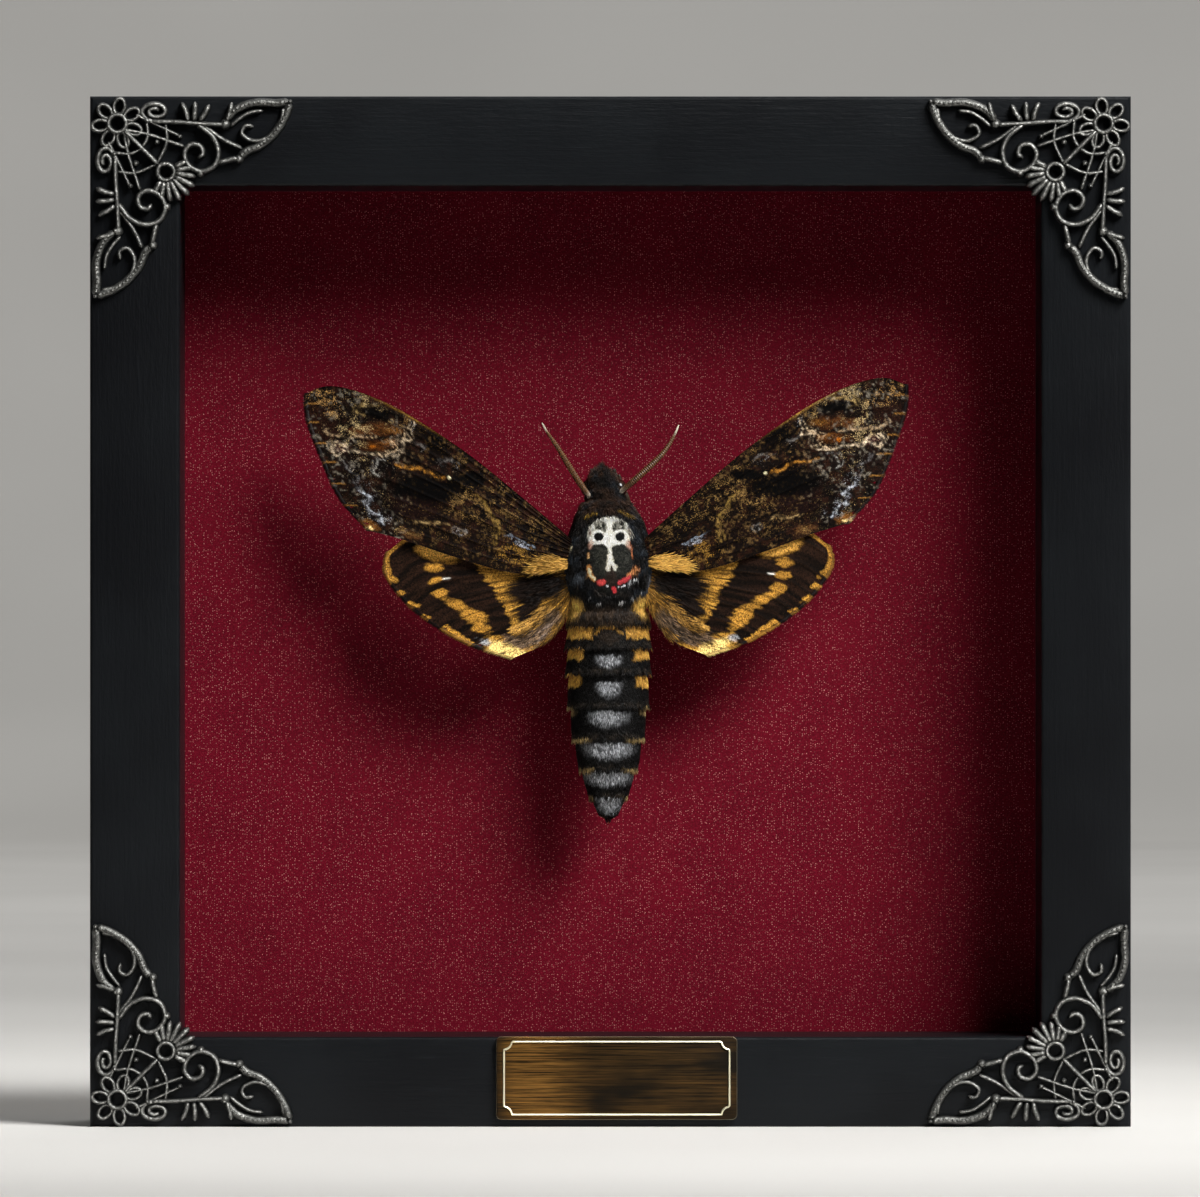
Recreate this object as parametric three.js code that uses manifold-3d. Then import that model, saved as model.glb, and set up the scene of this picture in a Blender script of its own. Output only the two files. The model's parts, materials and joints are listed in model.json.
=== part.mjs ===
// A death's-head hawkmoth, set with its wings spread and mounted in a square, open-fronted
// shadow box of black painted wood. The red board behind it carries the moth on a hidden post,
// pierced metal corner pieces sit on the frame's front, and a blank metal plate on its bottom rail.
//
// Millimetres. X is to the viewer's right, +Z is up, and the box faces -Y.
// The origin is on the surface that the box stands on, under the middle of the box.

import * as THREE from "three";
import { mergeVertices } from "three/addons/utils/BufferGeometryUtils.js";
import Module from "manifold-3d";

const wasm = await Module();
wasm.setup();

// Driving dimensions of the box
const FRAME_WIDTH = 200;
const FRAME_HEIGHT = 198;
const RAIL_WIDTH = 17.3;
const RAIL_FRONT = -17.4;
const RAIL_BACK = 18.6;
const RAIL_CHAMFER = 0.7;
const REBATE_WIDTH = 5;
const REBATE_FRONT = 12.6;
const GAP = 0.3; // left between pieces that touch
const BOARD_THICKNESS = 2.7;
const PANEL_THICKNESS = 1.8;

// Driving dimensions of the fittings
const TAB = { length: 13, width: 7, thickness: 0.5, fromCorner: 45 };
const HANGER = { length: 44, height: 8, thickness: 0.7, teeth: 11, toothDepth: 1.6, toothedLength: 27.3 };
const HANGER_EAR = { below: 1.6, above: 2.4 }; // how far the narrow ends reach from the middle
const PLATE = { width: 46.3, height: 16, thickness: 1, x: 1.2, z: 9.4, cornerRadius: 1, curveSegments: 3 };
const PLATE_BORDER = { inset: 1.5, line: 0.6, notch: 1.7, height: 0.4 };
const ORNAMENT = { height: 1.9, lowHeight: 1.4, stroke: 0.75, edging: 1.2, fromEdge: 0.3 };

// Driving dimensions of the moth, measured from the tip of its abdomen along the body
const BODY_X = -0.4;
const BODY_TIP_Z = 58.9;
const BODY_Y = -1.6;
const WING_HINGE_Z = 110.9;
const WING_Y = -5.6;
const WING_THICKNESS = 0.5;
const WING_BEND = { span: 58, tipBack: 2.2, bow: 0.9, edgeForward: 0.0006 };
const VEIN = { height: 0.28, fade: 0.6 };
const HINDWING_BEHIND = 1.3;
const LEFT_WING_DROOP = THREE.MathUtils.degToRad(1.7);

// Stations along the body: [distance from the abdomen's tip, half width, half depth, sideways shift]
const ABDOMEN_STATIONS = [
  [0, 0.5, 0.5, 0],
  [1, 1.9, 1.6, 0],
  [3.9, 3.9, 3.3, 0],
  [9.9, 5.9, 5.0, 0],
  [15.6, 7.1, 6.0, 0],
  [21.6, 7.9, 6.6, 0],
  [28.4, 8.3, 6.9, 0],
  [37.2, 8.3, 6.9, 0],
  [43, 7.4, 6.2, 0],
];
const THORAX_STATIONS = [
  [37.6, 3.0, 2.6, 0],
  [38.6, 6.4, 5.4, 0],
  [40.4, 7.9, 6.8, 0],
  [45.3, 9.0, 7.8, 0],
  [48.4, 9.25, 8.0, 0],
  [51.3, 9.0, 7.9, 0],
  [54.2, 8.4, 7.4, 0],
  [57.3, 7.2, 6.4, 0],
  [60.6, 5.4, 4.9, -0.3],
  [62.4, 3.6, 3.3, -0.5],
];
const HEAD_STATIONS = [
  [60.8, 3.4, 2.9, -0.5],
  [61.8, 4.4, 3.6, -0.6],
  [63.5, 4.0, 3.6, -0.8],
  [65.2, 3.5, 3.2, -1.0],
  [66.8, 2.5, 2.3, -1.2],
  [67.8, 1.2, 1.1, -1.3],
];
// Rings of points across each part, and how many points a ring has
const THORAX_RINGS = [37.6, 38.1, 38.8, 40, 42, 44, 46, 48, 50, 52, 54, 56, 58, 60, 61.4, 62.4];
const HEAD_RINGS = [60.8, 61.3, 62.1, 63.3, 64.6, 65.8, 66.8, 67.4, 67.8];
const AROUND = { thorax: 24, head: 18, abdomen: 20 };
// Where each abdominal segment ends, from the tip forwards
const SEGMENT_EDGES = [4.1, 9.5, 15.5, 21.7, 28.2, 33.2, 37.4];
const SEGMENT_STEP = 0.035;
const SEGMENT_FOLD = 0.35;
const TAIL_RINGS = [0, 0.9, 2.3];
const HINDWING_CLEARANCE = 0.8; // kept between the hindwings and the abdomen's flanks
const TEGULA = { from: 42, to: 59, angle: 56, width: 19, rise: 0.75 };
const SKULL_GROOVE = { angle: 35, width: 7, depth: 0.45 };

// Wing outlines as [outward from the body's midline, above the hinge]
const FOREWING = {
  costa: [[7, 2.2], [15.1, 9.5], [28.5, 20.8], [43.6, 30.4], [53.2, 33.2], [57.9, 31.7]],
  inner: [[7, -3.2], [17.2, -4.1], [29.4, -0.6], [39.8, 3.2], [46.1, 5.1]],
  outer: [[57.9, 31.7], [57.7, 27.2], [54.9, 19.1], [51.6, 11.6], [46.1, 5.1]],
  along: 14,
  across: 12,
};
const HINDWING = {
  costa: [[7, -1.2], [18, 2.2], [29, 4.6], [37.5, 4.3], [42.6, 0.9]],
  inner: [[7, -8.4], [8.8, -13], [12.6, -17.6], [18.9, -20.3]],
  outer: [[42.6, 0.9], [43.3, -2.6], [38.6, -9.6], [28.5, -16.7], [18.9, -20.3]],
  along: 11,
  across: 10,
};

const EYE = { radius: 1.8, x: 2.7, along: 63.9, y: 0.7, around: 12, rings: 8 };
// Antennae, palps and legs as [outward, along the body, behind the body's middle]
const RIGHT_ANTENNA = [
  [1.7, 62.6, -1.2], [5.7, 66.0, -3.6], [10.5, 70.6, -4.4], [12.6, 73.8, -4.0], [13.6, 76.1, -3.4],
];
const LEFT_ANTENNA = [
  [3.0, 61.4, -1.2], [5.8, 65.3, -3.6], [10.0, 72.1, -4.4], [12.0, 75.0, -4.0], [12.8, 76.5, -3.4],
];
const ANTENNA_RADII = [0.5, 0.62, 0.6, 0.45, 0.18];
const ANTENNA_MESH = { sides: 8, steps: 12 };
const PALP = [[1.9, 63.6, 2.4], [1.8, 66.0, 2.2], [1.35, 68.6, 0.8]];
const PALP_RADII = [1.0, 0.95, 0.45];
const PALP_MESH = { sides: 8, steps: 5 };
const LEGS = {
  front: [[3.6, 55.5, 4.4], [4.6, 57.6, 8.2], [3.4, 62.6, 7.6], [2.0, 66.6, 6.6]],
  middle: [[4.6, 50.6, 5.2], [6.6, 47.6, 9.4], [6.7, 38.6, 10.2], [6.0, 30.6, 10.4]],
  hind: [[3.9, 45.0, 5.4], [4.0, 40.6, 9.4], [3.6, 27.6, 10.2], [2.8, 13.4, 10.4]],
};
const LEG_RADII = [1.0, 0.85, 0.6, 0.3];
const LEG_MESH = { sides: 6, steps: 11 };
// The tongue's coil, left of the midline, with its root inside the head
const TONGUE = { out: 0.9, along: 65.6, behind: 5.6, radius: 1.6, shrink: 1.1, turns: 1.3, points: 12 };
const TONGUE_ROOT = [0.9, 66.6, 2.4];
const TONGUE_RADII = [0.42, 0.36, 0.26];
const TONGUE_MESH = { sides: 6, steps: 20 };

const POST = { radius: 1.8, along: 49, sides: 12 };

// Materials, in the colours of the real thing
const material = (color, roughness, metalness = 0) =>
  new THREE.MeshStandardMaterial({ color, roughness, metalness });
const blackPaint = material(0x14171a, 0.55);
const redVelvet = material(0x5d0612, 0.8);
const bareBoard = material(0x8a6a48, 0.9);
const zinc = material(0xa8abad, 0.4, 1);
const oldSilver = material(0x8d8c84, 0.4, 0.9);
const oldBrass = material(0x4a3a20, 0.45, 0.8);
const darkFur = material(0x1c1713, 0.9);
const bandedFur = material(0x2a2118, 0.9);
const forewingScales = material(0x2e2318, 0.8);
const hindwingScales = material(0xa06f22, 0.8);
const antennaBrown = material(0x4a3623, 0.6);
const eyeBlack = material(0x120d0b, 0.2);
const legBrown = material(0x2b2018, 0.8);

// A closed mesh as a solid that can be joined and cut
function solidOf(geometry) {
  const bare = geometry.index ? geometry.toNonIndexed() : geometry.clone();
  for (const name of Object.keys(bare.attributes)) {
    if (name !== "position") bare.deleteAttribute(name);
  }
  const merged = mergeVertices(bare, 1e-4);
  const solid = new wasm.Manifold(
    new wasm.Mesh({
      numProp: 3,
      vertProperties: merged.attributes.position.array,
      triVerts: new Uint32Array(merged.index.array),
    }),
  );
  return solid.volume() < 0 ? solidOf(turnedOut(merged)) : solid;
}

// The same mesh with every face turned round
function turnedOut(geometry) {
  const index = Array.from(geometry.index.array);
  for (let i = 0; i < index.length; i += 3) {
    [index[i + 1], index[i + 2]] = [index[i + 2], index[i + 1]];
  }
  return geometry.clone().setIndex(index);
}

// The largest closed body of a solid, as a geometry
function geometryOf(solid) {
  const bodies = solid.decompose().sort((a, b) => b.volume() - a.volume());
  const mesh = bodies[0].getMesh();
  return new THREE.BufferGeometry()
    .setAttribute("position", new THREE.BufferAttribute(new Float32Array(mesh.vertProperties), 3))
    .setIndex(Array.from(mesh.triVerts));
}

// A closed solid through rings of points, each with as many points, capped by a fan at each end
function loftedSolid(rings) {
  const around = rings[0].length;
  const points = rings.flat();
  const index = [];
  for (let ring = 0; ring < rings.length - 1; ring++) {
    for (let i = 0; i < around; i++) {
      const next = (i + 1) % around;
      const a = ring * around + i;
      const b = ring * around + next;
      index.push(a, b, b + around, a, b + around, a + around);
    }
  }
  const lastStart = (rings.length - 1) * around;
  const middleOf = (ring) =>
    ring.reduce((sum, p) => sum.add(p), new THREE.Vector3()).divideScalar(around);
  points.push(middleOf(rings[0]), middleOf(rings[rings.length - 1]));
  const firstCap = points.length - 2;
  const lastCap = points.length - 1;
  for (let i = 0; i < around; i++) {
    const next = (i + 1) % around;
    index.push(firstCap, next, i);
    index.push(lastCap, lastStart + i, lastStart + next);
  }
  return solidOf(new THREE.BufferGeometry().setFromPoints(points).setIndex(index));
}

// A smooth value between stations, where each station starts with its distance
function between(stations, distance) {
  const last = stations.length - 1;
  let k = 0;
  while (k < last - 1 && stations[k + 1][0] < distance) k++;
  const span = stations[k + 1][0] - stations[k][0];
  const t = THREE.MathUtils.clamp((distance - stations[k][0]) / span, 0, 1);
  const at = (i) => stations[THREE.MathUtils.clamp(i, 0, last)];
  return stations[0].map((_, column) => {
    const [a, b, c, d] = [at(k - 1), at(k), at(k + 1), at(k + 2)].map((s) => s[column]);
    const curve = (c - a) * t + (2 * a - 5 * b + 4 * c - d) * t * t + (3 * b - a - 3 * c + d) * t ** 3;
    return b + 0.5 * curve;
  });
}

// A body part as rings across the body. swell(distance, angle) adds to the radius, in mm;
// angle 0 faces the viewer. grow makes the whole part fatter, for cutting its neighbours.
function bodySolid(stations, distances, around, swell, grow = 0) {
  const rings = distances.map((distance) => {
    const [, halfWidth, halfDepth, shift] = between(stations, distance);
    return Array.from({ length: around }, (_, i) => {
      const angle = (2 * Math.PI * i) / around;
      const more = grow + swell(distance, THREE.MathUtils.radToDeg(angle));
      return new THREE.Vector3(
        BODY_X + shift + Math.sin(angle) * (halfWidth + more),
        BODY_Y - Math.cos(angle) * (halfDepth + more),
        BODY_TIP_Z + distance,
      );
    });
  });
  return loftedSolid(rings);
}

// A bump of height 1 at the middle that fades over the width
const bump = (value, middle, width) => Math.exp(-(((value - middle) / width) ** 2));

// How far an angle lies from the line that faces the viewer, from 0 to 180
const fromDorsal = (angle) => Math.min(angle, 360 - angle);

// Shoulder covers stand up beside the skull patch, with a groove between
function thoraxSwell(distance, angle) {
  const side = fromDorsal(angle);
  const middle = (TEGULA.from + TEGULA.to) / 2;
  const along = bump(distance, middle, (TEGULA.to - TEGULA.from) / 2);
  const cover = TEGULA.rise * bump(side, TEGULA.angle, TEGULA.width);
  const groove = SKULL_GROOVE.depth * bump(side, SKULL_GROOVE.angle, SKULL_GROOVE.width);
  return along * (cover - groove);
}

// Each segment of the abdomen is a little wider at its hind edge
function abdomenSwell(distance) {
  const edge = SEGMENT_EDGES.findIndex((e) => distance <= e);
  if (edge < 0) return 0;
  const start = edge === 0 ? 0 : SEGMENT_EDGES[edge - 1];
  const part = (distance - start) / (SEGMENT_EDGES[edge] - start);
  const halfWidth = between(ABDOMEN_STATIONS, distance)[1];
  return SEGMENT_STEP * halfWidth * (1 - 2 * part);
}

// Three rings for each segment, with a close pair where one segment meets the next
function abdomenRings() {
  const last = ABDOMEN_STATIONS[ABDOMEN_STATIONS.length - 1][0];
  const rings = [...TAIL_RINGS];
  SEGMENT_EDGES.forEach((edge, i) => {
    const next = SEGMENT_EDGES[i + 1] ?? last;
    rings.push(edge, edge + SEGMENT_FOLD, (edge + next) / 2);
  });
  return [...rings, last];
}

const evenly = (from, to, count) =>
  Array.from({ length: count + 1 }, (_, i) => from + ((to - from) * i) / count);

// A round tube along a smooth line of points, with a radius at each point
function taperedTube(points, radii, { sides, steps }, grow = 0) {
  const curve = new THREE.CatmullRomCurve3(points, false, "centripetal");
  const rings = [];
  let normal = new THREE.Vector3(0.3, 1, 0.2);
  for (let step = 0; step <= steps; step++) {
    const share = step / steps;
    const centre = curve.getPoint(share);
    const tangent = curve.getTangent(share);
    normal = normal.clone().addScaledVector(tangent, -normal.dot(tangent)).normalize();
    const across = new THREE.Vector3().crossVectors(tangent, normal);
    const place = share * (radii.length - 1);
    const k = Math.min(Math.floor(place), radii.length - 2);
    const radius = grow + radii[k] + (radii[k + 1] - radii[k]) * (place - k);
    const ringNormal = normal;
    rings.push(
      Array.from({ length: sides }, (_, i) => {
        const angle = (2 * Math.PI * i) / sides;
        return centre
          .clone()
          .addScaledVector(ringNormal, Math.cos(angle) * radius)
          .addScaledVector(across, Math.sin(angle) * radius);
      }),
    );
  }
  return loftedSolid(rings);
}

// A point of the moth from [outward, along the body, behind its middle], on the side that sign says
const mothPoint = ([out, along, behind], sign) =>
  new THREE.Vector3(BODY_X + sign * out, BODY_Y + behind, BODY_TIP_Z + along);

// The wings' common plane bends back a little towards the tips and forwards in the middle
function wingPlane(x, z) {
  const { span, tipBack, bow, edgeForward } = WING_BEND;
  const out = Math.abs(x) / span;
  const bowed = bow * Math.sin(Math.PI * Math.min(out, 1));
  return WING_Y + tipBack * out * out - bowed - edgeForward * z * z;
}

// A place on a wing between its four edges: s runs from the root to the outer edge,
// t from the leading edge to the hind one
function wingPatch(outline) {
  const asCurve = (list) =>
    new THREE.CatmullRomCurve3(list.map(([x, z]) => new THREE.Vector3(x, 0, z)), false, "centripetal");
  const costa = asCurve(outline.costa);
  const inner = asCurve(outline.inner);
  const outer = asCurve(outline.outer);
  const corners = [costa.getPoint(0), inner.getPoint(0), costa.getPoint(1), inner.getPoint(1)];
  return (s, t) => {
    const lengthwise = costa.getPointAt(s).lerp(inner.getPointAt(s), t);
    const root = corners[0].clone().lerp(corners[1], t);
    const crosswise = root.lerp(outer.getPointAt(t), s);
    const near = corners[0].clone().lerp(corners[1], t);
    const far = corners[2].clone().lerp(corners[3], t);
    return lengthwise.add(crosswise).sub(near.lerp(far, s));
  };
}

// A wing as a thin closed sheet whose veins fan out from the root as ridges on its front
function wingSolid(outline, sign, behind) {
  const { along, across } = outline;
  const patch = wingPatch(outline);
  const droop = sign < 0 ? LEFT_WING_DROOP : 0;
  const place = (i, j, raise) => {
    const flat = patch(i / along, j / across);
    const x = flat.x * Math.cos(droop) + flat.z * Math.sin(droop);
    const z = flat.z * Math.cos(droop) - flat.x * Math.sin(droop);
    return new THREE.Vector3(
      BODY_X + sign * x,
      wingPlane(x, z) + behind - raise,
      WING_HINGE_Z + z,
    );
  };
  const veinRaise = (i, j) => (j % 2 ? VEIN.height * (1 - (VEIN.fade * i) / along) : 0);
  const points = [];
  for (let i = 0; i <= along; i++) {
    for (let j = 0; j <= across; j++) {
      points.push(place(i, j, WING_THICKNESS / 2 + veinRaise(i, j)));
      points.push(place(i, j, -WING_THICKNESS / 2));
    }
  }
  const at = (i, j, back) => 2 * (i * (across + 1) + j) + back;
  const index = [];
  const quad = (a, b, c, d) => index.push(a, b, c, a, c, d);
  for (let i = 0; i < along; i++) {
    for (let j = 0; j < across; j++) {
      quad(at(i, j, 0), at(i + 1, j, 0), at(i + 1, j + 1, 0), at(i, j + 1, 0));
      index.push(at(i, j, 1), at(i + 1, j + 1, 1), at(i + 1, j, 1));
      index.push(at(i, j, 1), at(i, j + 1, 1), at(i + 1, j + 1, 1));
    }
    quad(at(i, 0, 1), at(i + 1, 0, 1), at(i + 1, 0, 0), at(i, 0, 0));
    quad(at(i, across, 0), at(i + 1, across, 0), at(i + 1, across, 1), at(i, across, 1));
  }
  for (let j = 0; j < across; j++) {
    quad(at(0, j, 0), at(0, j + 1, 0), at(0, j + 1, 1), at(0, j, 1));
    quad(at(along, j, 1), at(along, j + 1, 1), at(along, j + 1, 0), at(along, j, 0));
  }
  return solidOf(new THREE.BufferGeometry().setFromPoints(points).setIndex(index));
}

const named = (name, geometry, look) => {
  const mesh = new THREE.Mesh(geometry, look);
  mesh.name = name;
  return mesh;
};

// The short, stout tongue, coiled under the head in a plane beside the body's midline
function tongueSolid() {
  const coil = evenly(0, 1, TONGUE.points).map((share) => {
    const angle = share * TONGUE.turns * 2 * Math.PI;
    const radius = TONGUE.radius - TONGUE.shrink * share;
    const along = TONGUE.along + radius * Math.cos(angle);
    return mothPoint([TONGUE.out, along, TONGUE.behind + radius * Math.sin(angle)], -1);
  });
  return taperedTube([mothPoint(TONGUE_ROOT, -1), ...coil], TONGUE_RADII, TONGUE_MESH);
}

// The moth, part by part, each cut clear of what it grows from
function makeMoth() {
  const moth = new THREE.Group();
  const noSwell = () => 0;
  const thoraxSolid = (grow) =>
    bodySolid(THORAX_STATIONS, THORAX_RINGS, AROUND.thorax, thoraxSwell, grow);
  const headSolid = (grow) => bodySolid(HEAD_STATIONS, HEAD_RINGS, AROUND.head, noSwell, grow);
  const thorax = thoraxSolid(0);
  const thoraxCutter = thoraxSolid(GAP);
  const head = headSolid(0).subtract(thoraxCutter);
  const headCutter = headSolid(GAP);
  const abdomen = bodySolid(ABDOMEN_STATIONS, abdomenRings(), AROUND.abdomen, abdomenSwell);
  const plainRings = ABDOMEN_STATIONS.map(([distance]) => distance);
  const abdomenCutter = bodySolid(
    ABDOMEN_STATIONS, plainRings, AROUND.abdomen, noSwell, HINDWING_CLEARANCE,
  );

  const add = (name, solid, look) => moth.add(named(name, geometryOf(solid), look));
  add("moth_thorax", thorax, darkFur);
  add("moth_head", head, darkFur);
  add("moth_abdomen", abdomen.subtract(thoraxCutter), bandedFur);

  for (const [side, sign] of [["left", -1], ["right", 1]]) {
    const fore = wingSolid(FOREWING, sign, 0).subtract(thoraxCutter);
    const hind = wingSolid(HINDWING, sign, HINDWING_BEHIND).subtract(thoraxCutter);
    add(`moth_forewing_${side}`, fore, forewingScales);
    add(`moth_hindwing_${side}`, hind.subtract(abdomenCutter), hindwingScales);

    const headShift = between(HEAD_STATIONS, EYE.along)[3];
    const eyeBall = new THREE.SphereGeometry(EYE.radius, EYE.around, EYE.rings);
    eyeBall.translate(
      BODY_X + headShift + sign * EYE.x,
      BODY_Y + EYE.y,
      BODY_TIP_Z + EYE.along,
    );
    const eye = solidOf(eyeBall).subtract(headCutter).subtract(thoraxCutter);
    const antennaPoints = (sign < 0 ? LEFT_ANTENNA : RIGHT_ANTENNA).map((p) => mothPoint(p, sign));
    const antenna = taperedTube(antennaPoints, ANTENNA_RADII, ANTENNA_MESH).subtract(headCutter);
    const antennaCutter = taperedTube(antennaPoints, ANTENNA_RADII, ANTENNA_MESH, GAP);
    add(`moth_eye_${side}`, eye.subtract(antennaCutter), eyeBlack);
    add(`moth_antenna_${side}`, antenna.subtract(thoraxCutter), antennaBrown);

    const palpPoints = PALP.map(([out, along, behind]) =>
      mothPoint([out + sign * headShift, along, behind], sign),
    );
    const palp = taperedTube(palpPoints, PALP_RADII, PALP_MESH);
    add(`moth_palp_${side}`, palp.subtract(headCutter), darkFur);

    for (const [pair, route] of Object.entries(LEGS)) {
      const leg = taperedTube(route.map((p) => mothPoint(p, sign)), LEG_RADII, LEG_MESH);
      add(`moth_${pair}_leg_${side}`, leg.subtract(thoraxCutter), legBrown);
    }
  }

  add("moth_tongue", tongueSolid().subtract(headCutter), legBrown);
  return { moth, thoraxCutter };
}

// The post that carries the moth off the board, hidden behind its body
function makePost(thoraxCutter) {
  const from = BODY_Y;
  const to = REBATE_FRONT;
  const post = new THREE.CylinderGeometry(POST.radius, POST.radius, to - from, POST.sides);
  post.translate(BODY_X, (from + to) / 2, BODY_TIP_Z + POST.along);
  return named("mount_post", geometryOf(solidOf(post).subtract(thoraxCutter)), zinc);
}

// A rail of the frame with mitred ends, lying along X with its outer face down at z = 0
function railSolid(length) {
  const c = RAIL_CHAMFER;
  const profile = [
    [c, RAIL_FRONT],
    [RAIL_WIDTH - c, RAIL_FRONT],
    [RAIL_WIDTH, RAIL_FRONT + c],
    [RAIL_WIDTH, REBATE_FRONT],
    [RAIL_WIDTH - REBATE_WIDTH, REBATE_FRONT],
    [RAIL_WIDTH - REBATE_WIDTH, RAIL_BACK],
    [c, RAIL_BACK],
    [0, RAIL_BACK - c],
    [0, RAIL_FRONT + c],
  ];
  const mitreGap = GAP / Math.SQRT2;
  const end = (sign) =>
    profile.map(
      ([inward, y]) => new THREE.Vector3(sign * (length / 2 - inward - mitreGap), y, inward),
    );
  const points = [...end(-1), ...end(1)];
  const count = profile.length;
  const index = [];
  for (let i = 0; i < count; i++) {
    const next = (i + 1) % count;
    index.push(i, next, next + count, i, next + count, i + count);
  }
  const flat = profile.map(([x, y]) => new THREE.Vector2(x, y));
  for (const [a, b, d] of THREE.ShapeUtils.triangulateShape(flat, [])) {
    index.push(a, d, b, a + count, b + count, d + count);
  }
  return solidOf(new THREE.BufferGeometry().setFromPoints(points).setIndex(index));
}

function makeFrame() {
  const frame = new THREE.Group();
  const middle = FRAME_HEIGHT / 2;
  const rails = [
    ["rail_bottom", FRAME_WIDTH, 0, 0, 0],
    ["rail_right", FRAME_HEIGHT, FRAME_WIDTH / 2, middle, -Math.PI / 2],
    ["rail_top", FRAME_WIDTH, 0, FRAME_HEIGHT, Math.PI],
    ["rail_left", FRAME_HEIGHT, -FRAME_WIDTH / 2, middle, Math.PI / 2],
  ];
  for (const [name, length, x, z, turn] of rails) {
    const rail = named(name, geometryOf(railSolid(length)), blackPaint);
    rail.position.set(x, 0, z);
    rail.rotation.y = turn;
    frame.add(rail);
  }
  return frame;
}

// The covered board, the panel behind it, the tabs that hold them and the hanger
function makeBack() {
  const back = new THREE.Group();
  const reach = 2 * (RAIL_WIDTH - REBATE_WIDTH + GAP);
  const width = FRAME_WIDTH - reach;
  const height = FRAME_HEIGHT - reach;
  const sheet = (name, thickness, front, look) => {
    const mesh = named(name, new THREE.BoxGeometry(width, thickness, height), look);
    mesh.position.set(0, front + thickness / 2, FRAME_HEIGHT / 2);
    back.add(mesh);
    return front + thickness + GAP;
  };
  const panelFront = sheet("backing_board", BOARD_THICKNESS, REBATE_FRONT + GAP, redVelvet);
  const tabFront = sheet("back_panel", PANEL_THICKNESS, panelFront, bareBoard);

  const tabShape = new THREE.BoxGeometry(TAB.width, TAB.thickness, TAB.length);
  const tabY = tabFront + TAB.thickness / 2;
  const fromMiddle = (size) => size / 2 - TAB.fromCorner;
  const sideX = width / 2 - TAB.length / 2;
  const sideZ = height / 2 - TAB.length / 2;
  const spots = [];
  for (const sign of [-1, 1]) {
    for (const other of [-1, 1]) {
      spots.push([other * fromMiddle(FRAME_WIDTH), sign * sideZ, 0]);
      spots.push([sign * sideX, other * fromMiddle(FRAME_HEIGHT), Math.PI / 2]);
    }
  }
  spots.forEach(([x, z, turn], i) => {
    const tab = named(`retaining_tab_${i + 1}`, tabShape, zinc);
    tab.position.set(x, tabY, FRAME_HEIGHT / 2 + z);
    tab.rotation.y = turn;
    back.add(tab);
  });
  back.add(makeHanger());
  return back;
}

// A sawtooth hanger on the back of the top rail
function makeHanger() {
  const outline = new THREE.Shape();
  const half = HANGER.length / 2;
  const toothedHalf = HANGER.toothedLength / 2;
  outline.moveTo(-half, -HANGER_EAR.below);
  outline.lineTo(-toothedHalf, -HANGER.height / 2);
  const pitch = (2 * toothedHalf) / HANGER.teeth;
  for (let i = 0; i < HANGER.teeth; i++) {
    const start = -toothedHalf + i * pitch;
    outline.lineTo(start + pitch / 2, -HANGER.height / 2 + HANGER.toothDepth);
    outline.lineTo(start + pitch, -HANGER.height / 2);
  }
  outline.lineTo(half, -HANGER_EAR.below);
  outline.lineTo(half, HANGER_EAR.above);
  outline.lineTo(toothedHalf, HANGER.height / 2);
  outline.lineTo(-toothedHalf, HANGER.height / 2);
  outline.lineTo(-half, HANGER_EAR.above);
  const shape = new THREE.ExtrudeGeometry(outline, { depth: HANGER.thickness, bevelEnabled: false });
  const hanger = named("wall_hanger", geometryOf(solidOf(shape)), zinc);
  hanger.rotation.x = Math.PI / 2;
  hanger.position.set(
    0,
    RAIL_BACK + GAP + HANGER.thickness,
    FRAME_HEIGHT - (RAIL_WIDTH - REBATE_WIDTH) / 2,
  );
  return hanger;
}

// An oblong outline whose corners are scooped out, or rounded
function oblong(width, height, corner, scooped) {
  const shape = new THREE.Shape();
  const [x, y, c] = [width / 2, height / 2, corner];
  const turns = [[x, -y, 1], [x, y, 2], [-x, y, 3], [-x, -y, 4]];
  shape.moveTo(-x + c, -y);
  for (const [cornerX, cornerY, quarter] of turns) {
    const [sx, sy] = [Math.sign(cornerX), Math.sign(cornerY)];
    const start = ((quarter - 2) * Math.PI) / 2;
    if (scooped) {
      shape.absarc(cornerX, cornerY, c, start + 1.5 * Math.PI, start + Math.PI, true);
    } else {
      shape.absarc(cornerX - sx * c, cornerY - sy * c, c, start, start + Math.PI / 2, false);
    }
  }
  shape.closePath();
  return shape;
}

// The blank plate, with a raised line round it whose corners are scooped
function makePlate() {
  const flat = { bevelEnabled: false, curveSegments: PLATE.curveSegments };
  const body = new THREE.ExtrudeGeometry(
    oblong(PLATE.width, PLATE.height, PLATE.cornerRadius, false),
    { ...flat, depth: PLATE.thickness },
  );
  const { inset, line, notch, height } = PLATE_BORDER;
  const ring = oblong(PLATE.width - 2 * inset, PLATE.height - 2 * inset, notch, true);
  const inside = inset + line;
  ring.holes.push(oblong(PLATE.width - 2 * inside, PLATE.height - 2 * inside, notch, true));
  const border = new THREE.ExtrudeGeometry(ring, { ...flat, depth: PLATE.thickness + height });
  const plate = named("name_plate", geometryOf(solidOf(body).add(solidOf(border))), oldBrass);
  plate.rotation.x = Math.PI / 2;
  plate.position.set(PLATE.x, RAIL_FRONT - GAP, PLATE.z);
  return plate;
}

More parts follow.
